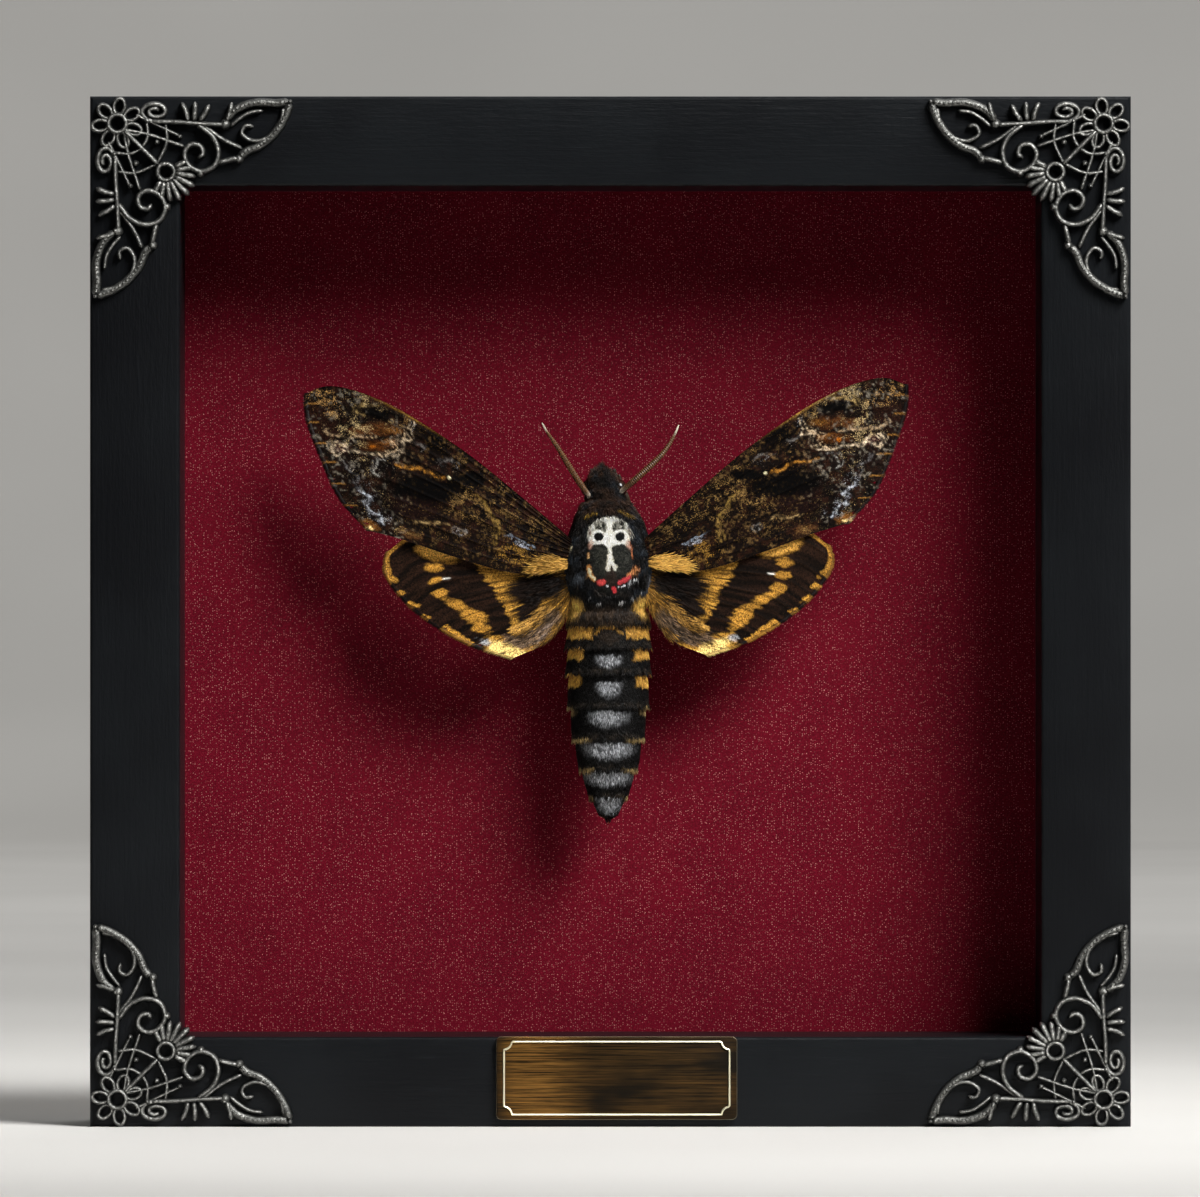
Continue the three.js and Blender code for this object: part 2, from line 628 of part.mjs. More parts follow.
// A stroke of the pierced metal: a flat-backed rib with a ridge, along a smooth line of [u, v]
function rib(line, width, height, steps, closed = false) {
  const flatPoints = line.map(([u, v]) => new THREE.Vector3(u, v, 0));
  const curve = new THREE.CatmullRomCurve3(flatPoints, closed, "centripetal");
  const count = closed ? steps : steps + 1;
  const points = [];
  for (let i = 0; i < count; i++) {
    const centre = curve.getPoint(i / steps);
    const tangent = curve.getTangent(i / steps);
    const side = new THREE.Vector3(-tangent.y, tangent.x, 0).multiplyScalar(width / 2);
    points.push(centre.clone().add(side), centre.clone().sub(side));
    points.push(centre.clone().setZ(height));
  }
  const index = [];
  for (let i = 0; i < steps; i++) {
    const a = 3 * i;
    const b = 3 * ((i + 1) % count);
    for (const [p, q] of [[0, 1], [1, 2], [2, 0]]) {
      index.push(a + p, a + q, b + q, a + p, b + q, b + p);
    }
  }
  if (!closed) {
    const last = 3 * (count - 1);
    index.push(0, 2, 1, last, last + 1, last + 2);
  }
  return solidOf(new THREE.BufferGeometry().setFromPoints(points).setIndex(index));
}

const circle = (u, v, radius, count = 8) =>
  evenly(0, 2 * Math.PI, count)
    .slice(0, count)
    .map((angle) => [u + radius * Math.cos(angle), v + radius * Math.sin(angle)]);

// A low peak over a ring of [u, v] points, such as a petal or a bead
function peak(ring, height) {
  const points = ring.map(([u, v]) => new THREE.Vector3(u, v, 0));
  const count = points.length;
  const top = points.reduce((sum, p) => sum.add(p), new THREE.Vector3()).divideScalar(count);
  points.push(top.setZ(height));
  const index = [];
  for (let i = 0; i < count; i++) {
    index.push(i, (i + 1) % count, count);
    if (i > 1) index.push(0, i, i - 1);
  }
  return solidOf(new THREE.BufferGeometry().setFromPoints(points).setIndex(index));
}

const bead = ({ u, v, radius }, height) => peak(circle(u, v, radius, 6), height);

// Pierced work of one corner, from the frame's corner: u along one side, v along the other.
// Only one half is described, and the other is the same with u and v exchanged.
const FLOWER = { middle: 5, ring: 1.7, petals: 7, reach: 4.5, petalWidth: 1.0 };
const FAN = { middle: 14.3, ring: 1.8, petals: 7, from: -20, to: 110, reach: 5.2, swell: 1.2 };
const SCROLL = { u: 12.3, v: 2.7, radiusU: 2.9, radiusV: 1.9, turns: 1.6, shrink: 0.68 };
const STEM = [[12.3, 4.6], [16.5, 4.7], [20.4, 5.0], [25.6, 5.2]];
const LEAF_OUTER = [[25.6, 4.6], [27.8, 2.3], [31.6, 1.0], [35.6, 1.1], [38, 0.8]];
const LEAF_EDGE = [[38, 0.8], [37.2, 3.6], [35.2, 6.8], [32.4, 9.2], [29.6, 10.4], [28.3, 12.0]];
const LEAF_INNER = [[36.4, 2.2], [36, 5.2], [33.6, 7.9], [30.8, 8.3], [28.8, 6.7]];
const LEAF_VEIN = [[21.4, 5.2], [25.2, 8.0], [29.4, 9.6]];
const EDGE_SWAG = [[28.7, 11.7], [26.4, 12.0], [24.4, 12.4]];
const C_SCROLL = [
  [20.2, 5.1], [23.2, 7.4], [24.4, 10.4], [23.6, 13.1], [21.0, 14.2], [18.6, 12.9], [17.9, 10.6],
  [19.2, 9.2], [20.8, 9.6],
];
const NET_ARC = [[12.4, 4.6], [12.6, 8.0], [11.4, 11.4]];
const NET_SPOKE = [[6.5, 6.1], [10.6, 7.0], [17.9, 9.4]];
const FINGERS = [
  [[18.6, 4.8], [17.5, 0.9]],
  [[19.6, 4.8], [20, 0.9]],
  [[20.6, 4.8], [22.6, 1.5]],
];
const PRONG = [[25.9, 4.8], [27.2, 1.0]];
const DIAGONAL = [[6.05, 6.05], [13, 13]];
const BEADS = [
  { u: 25.7, v: 5.1, radius: 1.15 },
  { u: 28.4, v: 11.8, radius: 0.95 },
  { u: 21.0, v: 14.5, radius: 0.8 },
];
// The work's own half, with u and v exchanged
const EXCHANGED = [0, 1, 0, 0, 1, 0, 0, 0, 0, 0, 1, 0, 0, 0, 0, 1];

function scrollLine() {
  const count = 12;
  return evenly(0, 1, count).map((share) => {
    const angle = Math.PI / 2 + share * SCROLL.turns * 2 * Math.PI;
    const size = 1 - SCROLL.shrink * share;
    return [
      SCROLL.u + SCROLL.radiusU * size * Math.cos(angle),
      SCROLL.v + SCROLL.radiusV * size * Math.sin(angle),
    ];
  });
}

function cornerHalf() {
  const { height, lowHeight, stroke, edging } = ORNAMENT;
  const pieces = [
    rib(scrollLine(), stroke, lowHeight, 9),
    rib(STEM, stroke * 1.1, height, 2),
    rib(LEAF_OUTER, edging, height, 4),
    rib(LEAF_EDGE, edging * 1.15, height, 5),
    rib(LEAF_INNER, stroke, lowHeight, 5),
    rib(LEAF_VEIN, stroke, lowHeight, 2),
    rib(EDGE_SWAG, stroke, height, 1),
    rib(C_SCROLL, stroke * 1.1, height, 8),
    rib(NET_ARC, stroke * 0.9, lowHeight, 2),
    rib(NET_SPOKE, stroke * 0.9, lowHeight, 2),
    rib(PRONG, stroke * 1.2, height, 1),
    ...BEADS.map((spot) => bead(spot, height)),
  ];
  for (const finger of FINGERS) {
    pieces.push(rib(finger, stroke * 1.2, height, 1));
  }
  return pieces;
}

// Petals round a ring at the corner itself
function cornerFlower() {
  const { middle, ring, petals, reach, petalWidth } = FLOWER;
  const { height, lowHeight, stroke } = ORNAMENT;
  const pieces = [rib(circle(middle, middle, ring), stroke, height, 8, true)];
  for (let i = 0; i < petals; i++) {
    const angle = Math.PI / 4 + ((i + 0.5) * 2 * Math.PI) / petals;
    const place = (out, side) => [
      middle + out * Math.cos(angle) - side * Math.sin(angle),
      middle + out * Math.sin(angle) + side * Math.cos(angle),
    ];
    const wide = (ring + reach) / 2 + 0.3;
    const outline = [
      place(ring - 0.2, 0), place(wide, -petalWidth), place(reach, 0), place(wide, petalWidth),
    ];
    pieces.push(peak(outline, lowHeight));
  }
  return pieces;
}

// A half daisy whose petals point into the opening
function cornerFan() {
  const { middle, ring, petals, from, to, reach, swell } = FAN;
  const { height, stroke } = ORNAMENT;
  const pieces = [rib(circle(middle, middle, ring), stroke, height, 8, true)];
  for (const share of evenly(0, 1, petals - 1)) {
    const angle = THREE.MathUtils.degToRad(from + (to - from) * share);
    const length = reach + swell * Math.sin(Math.PI * share);
    const at = (out) => [middle + out * Math.cos(angle), middle + out * Math.sin(angle)];
    pieces.push(rib([at(ring), at(length)], stroke * 1.1, height, 1));
  }
  return pieces;
}

function makeCorners() {
  const half = wasm.Manifold.union(cornerHalf());
  const whole = wasm.Manifold.union([
    half,
    half.transform(EXCHANGED),
    rib(DIAGONAL, ORNAMENT.stroke, ORNAMENT.height, 1),
    ...cornerFlower(),
    ...cornerFan(),
  ]);
  const shape = geometryOf(whole);
  const corners = new THREE.Group();
  const x = FRAME_WIDTH / 2 - ORNAMENT.fromEdge;
  const low = ORNAMENT.fromEdge;
  const high = FRAME_HEIGHT - ORNAMENT.fromEdge;
  const spots = [
    ["corner_bottom_left", -x, low, 0],
    ["corner_bottom_right", x, low, Math.PI / 2],
    ["corner_top_right", x, high, Math.PI],
    ["corner_top_left", -x, high, -Math.PI / 2],
  ];
  for (const [name, cornerX, cornerZ, turn] of spots) {
    const corner = named(name, shape, oldSilver);
    corner.rotation.set(Math.PI / 2, 0, turn);
    corner.position.set(cornerX, RAIL_FRONT - GAP, cornerZ);
    corners.add(corner);
  }
  return corners;
}

const model = new THREE.Group();
const { moth, thoraxCutter } = makeMoth();
model.add(makeFrame(), makeBack(), makeCorners(), makePlate(), makePost(thoraxCutter), moth);

export default model;
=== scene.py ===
import json
import math

import bpy
import numpy as np
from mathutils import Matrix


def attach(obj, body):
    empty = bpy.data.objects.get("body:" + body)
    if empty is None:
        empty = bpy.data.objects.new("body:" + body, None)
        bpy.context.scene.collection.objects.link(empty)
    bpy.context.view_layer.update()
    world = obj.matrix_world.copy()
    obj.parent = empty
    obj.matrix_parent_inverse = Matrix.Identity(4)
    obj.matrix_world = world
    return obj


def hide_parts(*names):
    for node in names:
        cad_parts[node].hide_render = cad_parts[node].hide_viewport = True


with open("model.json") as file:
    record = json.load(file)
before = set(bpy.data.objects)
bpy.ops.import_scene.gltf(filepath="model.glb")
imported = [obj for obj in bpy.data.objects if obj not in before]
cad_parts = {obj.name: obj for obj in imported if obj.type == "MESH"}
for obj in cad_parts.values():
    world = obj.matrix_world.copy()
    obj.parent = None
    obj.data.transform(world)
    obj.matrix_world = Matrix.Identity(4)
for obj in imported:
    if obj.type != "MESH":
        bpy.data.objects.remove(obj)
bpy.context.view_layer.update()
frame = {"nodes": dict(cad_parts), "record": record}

# The looks of a death's-head hawkmoth in its shadow box. Sizes are in millimetres and are
# turned into metres where a mesh is made. X is to the viewer's right, Z is up and the box
# faces -Y, with the origin under its middle.

MM = 0.001
random = np.random.default_rng(11)

# Box
FRAME_WIDTH = 200
FRAME_HEIGHT = 198
RAIL_WIDTH = 17.3
RAIL_FRONT = -17.4
RAIL_BACK = 18.6
RAIL_ROUNDING = 0.7
ROUNDING_STEPS = 4
RAIL_STATIONS = 41
REBATE_WIDTH = 5
REBATE_FRONT = 12.6
GAP = 0.3
PLATE = {"width": 46.3, "height": 16, "thickness": 1, "x": 1.2, "z": 9.4, "corner": 1, "bevel": 0.25}
PLATE_BORDER = {"side": 1.5, "top": 1.0, "line": 0.45, "notch": 1.5, "height": 0.4}
ORNAMENT = {"height": 1.9, "low": 1.4, "stroke": 1.12, "edging": 1.8, "from_edge": 0.3, "uneven": 0.06}

# Moth, along the body from the tip of the abdomen
BODY_X = -0.4
BODY_TIP_Z = 58.9
BODY_Y = -1.6
WING_HINGE_Z = 110.9
WING_Y = -5.6
WING_THICKNESS = 0.3
HINDWING_BEHIND = 1.3
LEFT_WING_DROOP = math.radians(1.7)

# Stations along the body: distance from the tip, half width, half depth, sideways shift
ABDOMEN_STATIONS = [
    (0, 0.5, 0.5, 0), (1, 1.9, 1.6, 0), (3.9, 3.9, 3.3, 0), (9.9, 5.9, 5.0, 0), (15.6, 7.1, 6.0, 0),
    (21.6, 7.9, 6.6, 0), (28.4, 8.3, 6.9, 0), (37.2, 8.3, 6.9, 0), (43, 7.4, 6.2, 0),
]
THORAX_STATIONS = [
    (37.6, 3.0, 2.6, 0), (38.6, 6.4, 5.4, 0), (40.4, 7.9, 6.8, 0), (45.3, 9.0, 7.8, 0),
    (48.4, 9.25, 8.0, 0), (51.3, 9.0, 7.9, 0), (54.2, 8.4, 7.4, 0), (57.3, 7.2, 6.4, 0),
    (60.6, 5.4, 4.9, -0.3), (62.4, 3.6, 3.3, -0.5),
]
HEAD_STATIONS = [
    (60.8, 3.4, 2.9, -0.5), (61.8, 4.4, 3.6, -0.6), (63.5, 4.0, 3.6, -0.8), (65.2, 3.5, 3.2, -1.0),
    (66.8, 2.5, 2.3, -1.2), (67.8, 1.2, 1.1, -1.3),
]
# How far the head leans aside, as distance along the body and shift
HEAD_SHIFT = [(0, 0), (57.3, 0), (60.6, -0.35), (63.5, -0.8), (65.2, -1.0), (66.8, -1.2), (67.8, -1.3)]
BODY_LENGTH = 67.8
WAIST = 38.2
SEGMENT_EDGES = [4.1, 9.5, 15.5, 21.7, 28.2, 33.2, 37.4]
SEGMENT_STEP = 0.045
TEGULA = {"from": 42, "to": 59, "angle": 56, "width": 19, "rise": 0.75}
SKULL_GROOVE = {"angle": 35, "width": 7, "depth": 0.45}
COAT_DEPTH = {"abdomen": 0.5, "thorax": 0.85, "head": 0.9}

# Wing outlines as outward from the body's midline and above the hinge
FOREWING = {
    "costa": [(7, 2.2), (15.1, 9.5), (28.5, 20.8), (43.6, 30.4), (53.2, 33.2), (57.9, 31.7)],
    "inner": [(7, -3.2), (17.2, -4.1), (29.4, -0.6), (39.8, 3.2), (46.1, 5.1)],
    "outer": [(57.9, 31.7), (57.7, 27.2), (54.9, 19.1), (51.6, 11.6), (46.1, 5.1)],
    "veins": [0.04, 0.1, 0.18, 0.29, 0.41, 0.53, 0.65, 0.77, 0.89],
    "grid": (230, 125),
}
HINDWING = {
    "costa": [(7, -1.2), (18, 2.2), (29, 4.6), (37.5, 4.3), (42.6, 0.9)],
    "inner": [(7, -8.4), (8.8, -13), (12.6, -17.6), (18.9, -20.3)],
    "outer": [(42.6, 0.9), (43.3, -2.6), (38.6, -9.6), (28.5, -16.7), (18.9, -20.3)],
    "veins": [0.08, 0.2, 0.32, 0.45, 0.58, 0.7, 0.82, 0.93],
    "grid": (170, 125),
}

EYE = {"radius": 1.8, "x": 2.7, "along": 63.9, "y": 0.7, "rows": 24, "sides": 36}
# Antennae, palps and legs as outward, along the body and behind its middle
ANTENNAE = {
    "right": [
        (1.7, 62.6, -1.2), (5.7, 66.0, -3.6), (10.5, 70.6, -4.4), (12.6, 73.8, -4.0), (13.6, 76.1, -3.4)],
    "left": [
        (3.0, 61.4, -1.2), (5.8, 65.3, -3.6), (10.0, 72.1, -4.4), (12.0, 75.0, -4.0), (12.8, 76.5, -3.4)],
}
ANTENNA_RADII = [0.42, 0.6, 0.58, 0.42, 0.12]
PALP = [(1.9, 63.6, 2.4), (1.8, 66.0, 2.2), (1.35, 68.6, 0.8)]
PALP_RADII = [1.0, 0.95, 0.6]
PALP_SHIFT = -0.98  # the head's lean at the palps
PALP_CORE = 0.75  # the skin's part of those radii
PALP_SHOWN = 0.72
# The tongue's coil, left of the midline, with its root inside the head
TONGUE = {"out": 0.9, "along": 65.6, "behind": 5.6, "radius": 1.6, "shrink": 1.1, "turns": 1.3, "points": 12}
TONGUE_ROOT = (0.9, 66.6, 2.4)
TONGUE_RADII = [0.42, 0.36, 0.26]
LEGS = {
    "front": [(3.6, 55.5, 4.4), (4.6, 57.6, 8.2), (3.4, 62.6, 7.6), (2.0, 66.6, 6.6)],
    "middle": [(4.6, 50.6, 5.2), (6.6, 47.6, 9.4), (6.7, 38.6, 10.2), (6.0, 30.6, 10.4)],
    "hind": [(3.9, 45.0, 5.4), (4.0, 40.6, 9.4), (3.6, 27.6, 10.2), (2.8, 13.4, 10.4)],
}
LEG_RADII = [1.0, 0.85, 0.6, 0.3]
SPINE = {"reach": (0.5, 0.35, -0.5), "length": 1.1, "radii": [0.16, 0.12, 0.03], "every": 5}

# Camera
CAMERA_X = -2.0
CAMERA_Z = 101.5
CAMERA_DISTANCE = 2500
CAMERA_LENS = 390.4

# Room, in metres
FLOOR_RADIUS = 3.0
SWEEP_RADIUS = 0.8
WALL_HEIGHT = 2.5

# Lights as place, target and size in metres, watts and spread in degrees; the key light is from
# above on the right
BOX_MIDDLE = (0, 0, 0.1)
KEY_DIRECTION = (0.84, -1.0, 1.2)
KEY_DISTANCE = 1.2
KEY_LIGHT = (0.6, 3.7, 50)
OTHER_LIGHTS = {
    "fill": ((-1.3, -1.6, 0.9), BOX_MIDDLE, 1.4, 0.2), "back": ((0.5, 1.2, 1.4), (0, 0.4, 0), 1.2, 6),
    "backdrop": ((0, 1.7, 2.4), (0, 3.6, 0.2), 2.0, 45),
}
SKY = {"Color": (0.9, 0.93, 1.0, 1), "Strength": 0.02}

SIDES = (("left", -1), ("right", 1))
FRONT = [0.0, -1.0, 0.0]


# Colour and noise

def hexed(text):
    """A colour written as in a paint program, as linear red, green and blue."""
    parts = [int(text[i:i + 2], 16) / 255 for i in (1, 3, 5)]
    return tuple(c / 12.92 if c <= 0.04045 else ((c + 0.055) / 1.055) ** 2.4 for c in parts)


def ramp(value, low, high):
    """0 below low, 1 above high and smooth between."""
    part = np.clip((value - low) / (high - low), 0, 1)
    return part * part * (3 - 2 * part)


def hashed(cells, seed):
    """A repeatable value from 0 to 1 for each whole-numbered cell."""
    mixed = np.sin(cells @ np.array([127.1, 311.7, 74.7])[:cells.shape[-1]] + seed * 13.7) * 43758.5453
    return mixed - np.floor(mixed)


def noise(points, size, seed=0):
    """Smooth noise from 0 to 1 whose features have the given size."""
    scaled = points / size
    low = np.floor(scaled)
    part = scaled - low
    part = part * part * (3 - 2 * part)
    total = np.zeros(len(points))
    for corner in np.ndindex(*(2,) * points.shape[1]):
        weight = np.prod(np.where(np.array(corner), part, 1 - part), axis=1)
        total += weight * hashed(low + np.array(corner), seed)
    return total


def shaken(value, reach, points, size, seed, source=None):
    """The value moved up or down by noise, by half the reach at most."""
    return value + reach * ((source or noise)(points, size, seed) - 0.5)


def rough_noise(points, size, seed=0):
    """Noise with two finer noises on it."""
    layers = ((0.55, size), (0.3, size / 2.3), (0.15, size / 5.1))
    first, second, third = (share * noise(points, fine, seed + k) for k, (share, fine) in enumerate(layers))
    return first + second + third


def plain(colour, count):
    """The same colour for each of a count of points."""
    return np.tile(np.array(hexed(colour)), (count, 1))


def lay(ground, colour, amount):
    """The colour laid over the ground, more where the amount is nearer 1."""
    return ground + (np.array(hexed(colour)) - ground) * amount[:, None]


def spot(x, z, middle, radii, turn=0, soft=0.25):
    """1 inside an ellipse, 0 outside it, with a soft edge."""
    a = math.radians(turn)
    dx, dz = x - middle[0], z - middle[1]
    across = (dx * math.cos(a) + dz * math.sin(a)) / radii[0]
    up = (dz * math.cos(a) - dx * math.sin(a)) / radii[1]
    return 1 - ramp(np.hypot(across, up), 1 - soft, 1 + soft)


def stroke(x, z, line, width, soft=0.5):
    """1 near a line of points, within half the width of it."""
    nearest = np.full(len(x), 1e9)
    for (ax, az), (bx, bz) in zip(line, line[1:]):
        dx, dz = bx - ax, bz - az
        share = np.clip(((x - ax) * dx + (z - az) * dz) / (dx * dx + dz * dz), 0, 1)
        nearest = np.minimum(nearest, np.hypot(x - ax - share * dx, z - az - share * dz))
    half = width / 2
    return 1 - ramp(nearest, half * (1 - soft), half * (1 + soft))


def lay_spots(ground, x, z, rows, soft):
    """The ground with soft spots: middle, radii, turn, colour and strength of each."""
    for middle, radii, turn, colour, strength in rows:
        ground = lay(ground, colour, strength * spot(x, z, middle, radii, turn, soft))
    return ground


def lay_lines(ground, x, z, rows, soft=0.5):
    """The ground with lines: places, width, colour and strength of each."""
    for line, width, colour, strength in rows:
        ground = lay(ground, colour, strength * stroke(x, z, line, width, soft))
    return ground


def bump(value, middle, width):
    """1 in the middle, and less on both sides, in a bell."""
    return np.exp(-(((value - middle) / width) ** 2))


# Curves

def smooth_line(points, steps=24, closed=False):
    """A centripetal Catmull-Rom curve through points, as a fine line."""
    p = np.array(points, float)
    if closed:
        p = np.vstack([p[-1], p, p[:2]])
    else:
        p = np.vstack([2 * p[0] - p[1], p, 2 * p[-1] - p[-2]])
    share = np.linspace(0, 1, steps, endpoint=False)[:, None]
    fine = []
    for a, b, c, d in zip(p, p[1:], p[2:], p[3:]):
        t0, t1, t2 = (max(np.linalg.norm(v) ** 0.5, 1e-6) for v in (b - a, c - b, d - c))
        start = ((b - a) / t0 - (c - a) / (t0 + t1) + (c - b) / t1) * t1
        end = ((c - b) / t1 - (d - b) / (t1 + t2) + (d - c) / t2) * t1
        fine.append(
            b + start * share + (-3 * b + 3 * c - 2 * start - end) * share**2
            + (2 * b - 2 * c + start + end) * share**3)
    return np.vstack([*fine, p[1 if closed else -2]])


def along_line(line, shares):
    """Points at these shares of a fine line's length."""
    steps = np.linalg.norm(np.diff(line, axis=0), axis=1)
    walked = np.concatenate([[0], np.cumsum(steps)])
    return np.column_stack([np.interp(np.asarray(shares) * walked[-1], walked, c) for c in line.T])


def even_line(points, pitch, closed=False):
    """A smooth line through points, cut into even steps of about the pitch."""
    line = smooth_line(points, closed=closed)
    length = np.linalg.norm(np.diff(line, axis=0), axis=1).sum()
    count = max(2, int(round(length / pitch)))
    return along_line(line, np.linspace(0, 1, count + 1))


# Meshes

def put_in_scene(name, data):
    """A new object of the scene with this mesh, light or camera."""
    made = bpy.data.objects.new(name, data)
    bpy.context.scene.collection.objects.link(made)
    return made


def make_piece(name, points, faces, material, slot, replaced=(), colours=None, floats=None, smooth=True):
    """A mesh from points in millimetres, riding on the root and standing for its CAD nodes."""
    mesh = bpy.data.meshes.new(name)
    faces = faces if isinstance(faces, list) else faces.tolist()
    mesh.from_pydata((np.asarray(points) * MM).tolist(), [], faces)
    for key, values in (colours or {}).items():
        layer = mesh.attributes.new(key, "FLOAT_COLOR", "POINT")
        values = np.column_stack([values, np.ones(len(values))]) if values.shape[1] == 3 else values
        layer.data.foreach_set("color", np.ascontiguousarray(values, np.float32).ravel())
    for key, values in (floats or {}).items():
        layer = mesh.attributes.new(key, "FLOAT", "POINT")
        layer.data.foreach_set("value", np.ascontiguousarray(values, np.float32))
    mesh.polygons.foreach_set("use_smooth", [smooth] * len(mesh.polygons))
    mesh.materials.append(material)
    mesh.update()
    piece = put_in_scene(name, mesh)
    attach(piece, "root")
    if replaced:
        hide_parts(*replaced)
    return piece


def grid_faces(rows, columns, wrap=False):
    """Quads of a grid of points that is stored row by row."""
    i, j = np.meshgrid(np.arange(rows - 1), np.arange(columns if wrap else columns - 1), indexing="ij")
    i, j = i.ravel(), j.ravel()
    after = (j + 1) % columns
    low, high = i * columns, (i + 1) * columns
    return np.column_stack([low + j, high + j, high + after, low + after])


def cap_faces(count, rings, first, last):
    """Triangles that close both ends of a wrapped grid onto two points of these indices."""
    far = (rings - 1) * count
    faces = []
    for k in range(count):
        after = (k + 1) % count
        faces.append([k, after, first])
        faces.append([far + after, far + k, last])
    return faces


def tube(line, radii, sides, ridge=0.0, ridge_pitch=1.0, flatten=1.0):
    """A closed round tube along a fine line, ridged across where ridge isn't 0."""
    line = np.asarray(line, float)
    count = len(line)
    shares = np.linspace(0, 1, count)
    radius = np.interp(shares, np.linspace(0, 1, len(radii)), radii)
    length = np.linalg.norm(np.diff(line, axis=0), axis=1).sum()
    radius = radius * (1 + ridge * np.cos(2 * math.pi * shares * length / ridge_pitch))
    tangents = np.gradient(line, axis=0)
    tangents /= np.linalg.norm(tangents, axis=1)[:, None]
    up = np.array([0.3, 1, 0.2])
    rings = []
    for centre, tangent, size in zip(line, tangents, radius):
        up = up - tangent * up.dot(tangent)
        up /= np.linalg.norm(up)
        across = np.cross(tangent, up)
        angle = 2 * math.pi * np.arange(sides) / sides
        ring = np.outer(np.cos(angle), up) * flatten + np.outer(np.sin(angle), across)
        rings.append(centre + size * ring)
    points = np.vstack([*rings, line[0], line[-1]])
    faces = grid_faces(count, sides, wrap=True).tolist()
    return points, faces + cap_faces(sides, count, count * sides, count * sides + 1)


def joined(parts):
    """Several (points, faces) as one."""
    points = []
    faces = []
    for part_points, part_faces in parts:
        start = sum(len(p) for p in points)
        points.append(np.asarray(part_points))
        faces.extend([[start + i for i in face] for face in part_faces])
    return np.vstack(points), faces


# Materials

class Nodes:
    """Short ways to add shader nodes to one material."""

    def __init__(self, name, **constants):
        self.material = bpy.data.materials.new(name)
        self.material.use_nodes = True
        self.tree = self.material.node_tree
        self.shader = self.tree.nodes["Principled BSDF"]
        for key, value in constants.items():
            self.set(key.replace("_", " "), value)

    def set(self, socket, value):
        """Gives the shader's socket a value, a colour or another node's output."""
        target = self.shader.inputs[socket]
        if isinstance(value, bpy.types.NodeSocket):
            self.tree.links.new(value, target)
        else:
            target.default_value = (*value, 1) if isinstance(value, tuple) and len(value) == 3 else value

    def add(self, kind, output, inputs, **settings):
        """A new node with these inputs and settings, as its named output."""
        node = self.tree.nodes.new(kind)
        for key, value in settings.items():
            setattr(node, key, value)
        for key, value in inputs.items():
            if isinstance(value, bpy.types.NodeSocket):
                self.tree.links.new(value, node.inputs[key])
            elif isinstance(value, tuple) and len(value) == 3 and node.inputs[key].type == "RGBA":
                node.inputs[key].default_value = (*value, 1)
            else:
                node.inputs[key].default_value = value
        return node.outputs[output]

    def place(self, scale=(1, 1, 1), turn=(0, 0, 0)):
        """The place on the object, stretched by the scale and turned."""
        on_object = self.add("ShaderNodeTexCoord", "Object", {})
        return self.add("ShaderNodeMapping", "Vector", {
            "Vector": on_object, "Scale": scale, "Rotation": turn})

    def noise(self, vector, size_mm, detail=2, roughness=0.5, distortion=0):
        """Cloudy noise from 0 to 1 with features of the given size."""
        return self.add("ShaderNodeTexNoise", "Fac", {
            "Vector": vector, "Scale": 1 / (size_mm * MM), "Detail": detail, "Roughness": roughness,
            "Distortion": distortion})

    def cells(self, vector, size_mm, output="Distance", flat=False):
        """Irregular cells of the given size: the distance from their middles, or their colour."""
        return self.add("ShaderNodeTexVoronoi", output, {"Vector": vector, "Scale": 1 / (size_mm * MM)},
                        voronoi_dimensions="2D" if flat else "3D")

    def step(self, value, low, high):
        """0 below low, 1 above high."""
        return self.add("ShaderNodeMapRange", "Result", {
            "Value": value, "From Min": low, "From Max": high}, interpolation_type="SMOOTHSTEP")

    def between(self, value, low, high):
        """A value from 0 to 1 spread from low to high."""
        return self.add("ShaderNodeMapRange", "Result", {"Value": value, "To Min": low, "To Max": high})

    def math(self, operation, a, b):
        """Two values added, multiplied or the like."""
        return self.add("ShaderNodeMath", 0, {0: a, 1: b}, operation=operation)

    def attribute(self, name, output="Color"):
        """What the mesh stores under this name, point by point."""
        return self.add("ShaderNodeAttribute", output, {}, attribute_name=name)

    def mix(self, amount, a, b):
        """Colour a where the amount is 0 and b where it is 1."""
        node = self.tree.nodes.new("ShaderNodeMix")
        node.data_type = "RGBA"
        for index, value in ((0, amount), (6, a), (7, b)):
            value = hexed(value) if isinstance(value, str) else value
            if isinstance(value, bpy.types.NodeSocket):
                self.tree.links.new(value, node.inputs[index])
            else:
                node.inputs[index].default_value = (*value, 1) if index else value
        return node.outputs[2]

    def blend(self, value, low, high, a, b):
        """Colour a where the value is below low and b where it is above high."""
        return self.mix(self.step(value, low, high), a, b)

    def bump(self, height, depth_mm, strength=1.0):
        """Raises the surface by a height from 0 to 1."""
        self.set("Normal", self.add("ShaderNodeBump", "Normal", {
            "Height": height, "Distance": depth_mm * MM, "Strength": strength}))


def painted_wood(name, grain):
    """Black paint brushed over wood whose grain runs along X or Z."""
    n = Nodes(name, Specular_IOR_Level=0.14)
    stretch = (0.05, 1, 1) if grain == "X" else (1, 1, 0.05)
    fibres = n.noise(n.place(stretch), 0.7, detail=4, roughness=0.65, distortion=0.4)
    pores = n.noise(n.place((0.35, 1, 1) if grain == "X" else (1, 1, 0.35)), 0.55, detail=3, roughness=0.6)
    cloud = n.noise(n.place(), 30, detail=3)
    shade = n.blend(cloud, 0.3, 0.7, "#0b0c0e", "#111315")
    worn = n.math("MULTIPLY", n.step(fibres, 0.6, 0.8), 0.4)
    n.set("Base Color", n.mix(worn, shade, "#1f2225"))
    n.set("Roughness", n.between(pores, 0.26, 0.42))
    n.bump(n.math("ADD", n.math("MULTIPLY", fibres, 0.7), n.math("MULTIPLY", pores, 0.5)), 0.16, 0.8)
    return n.material


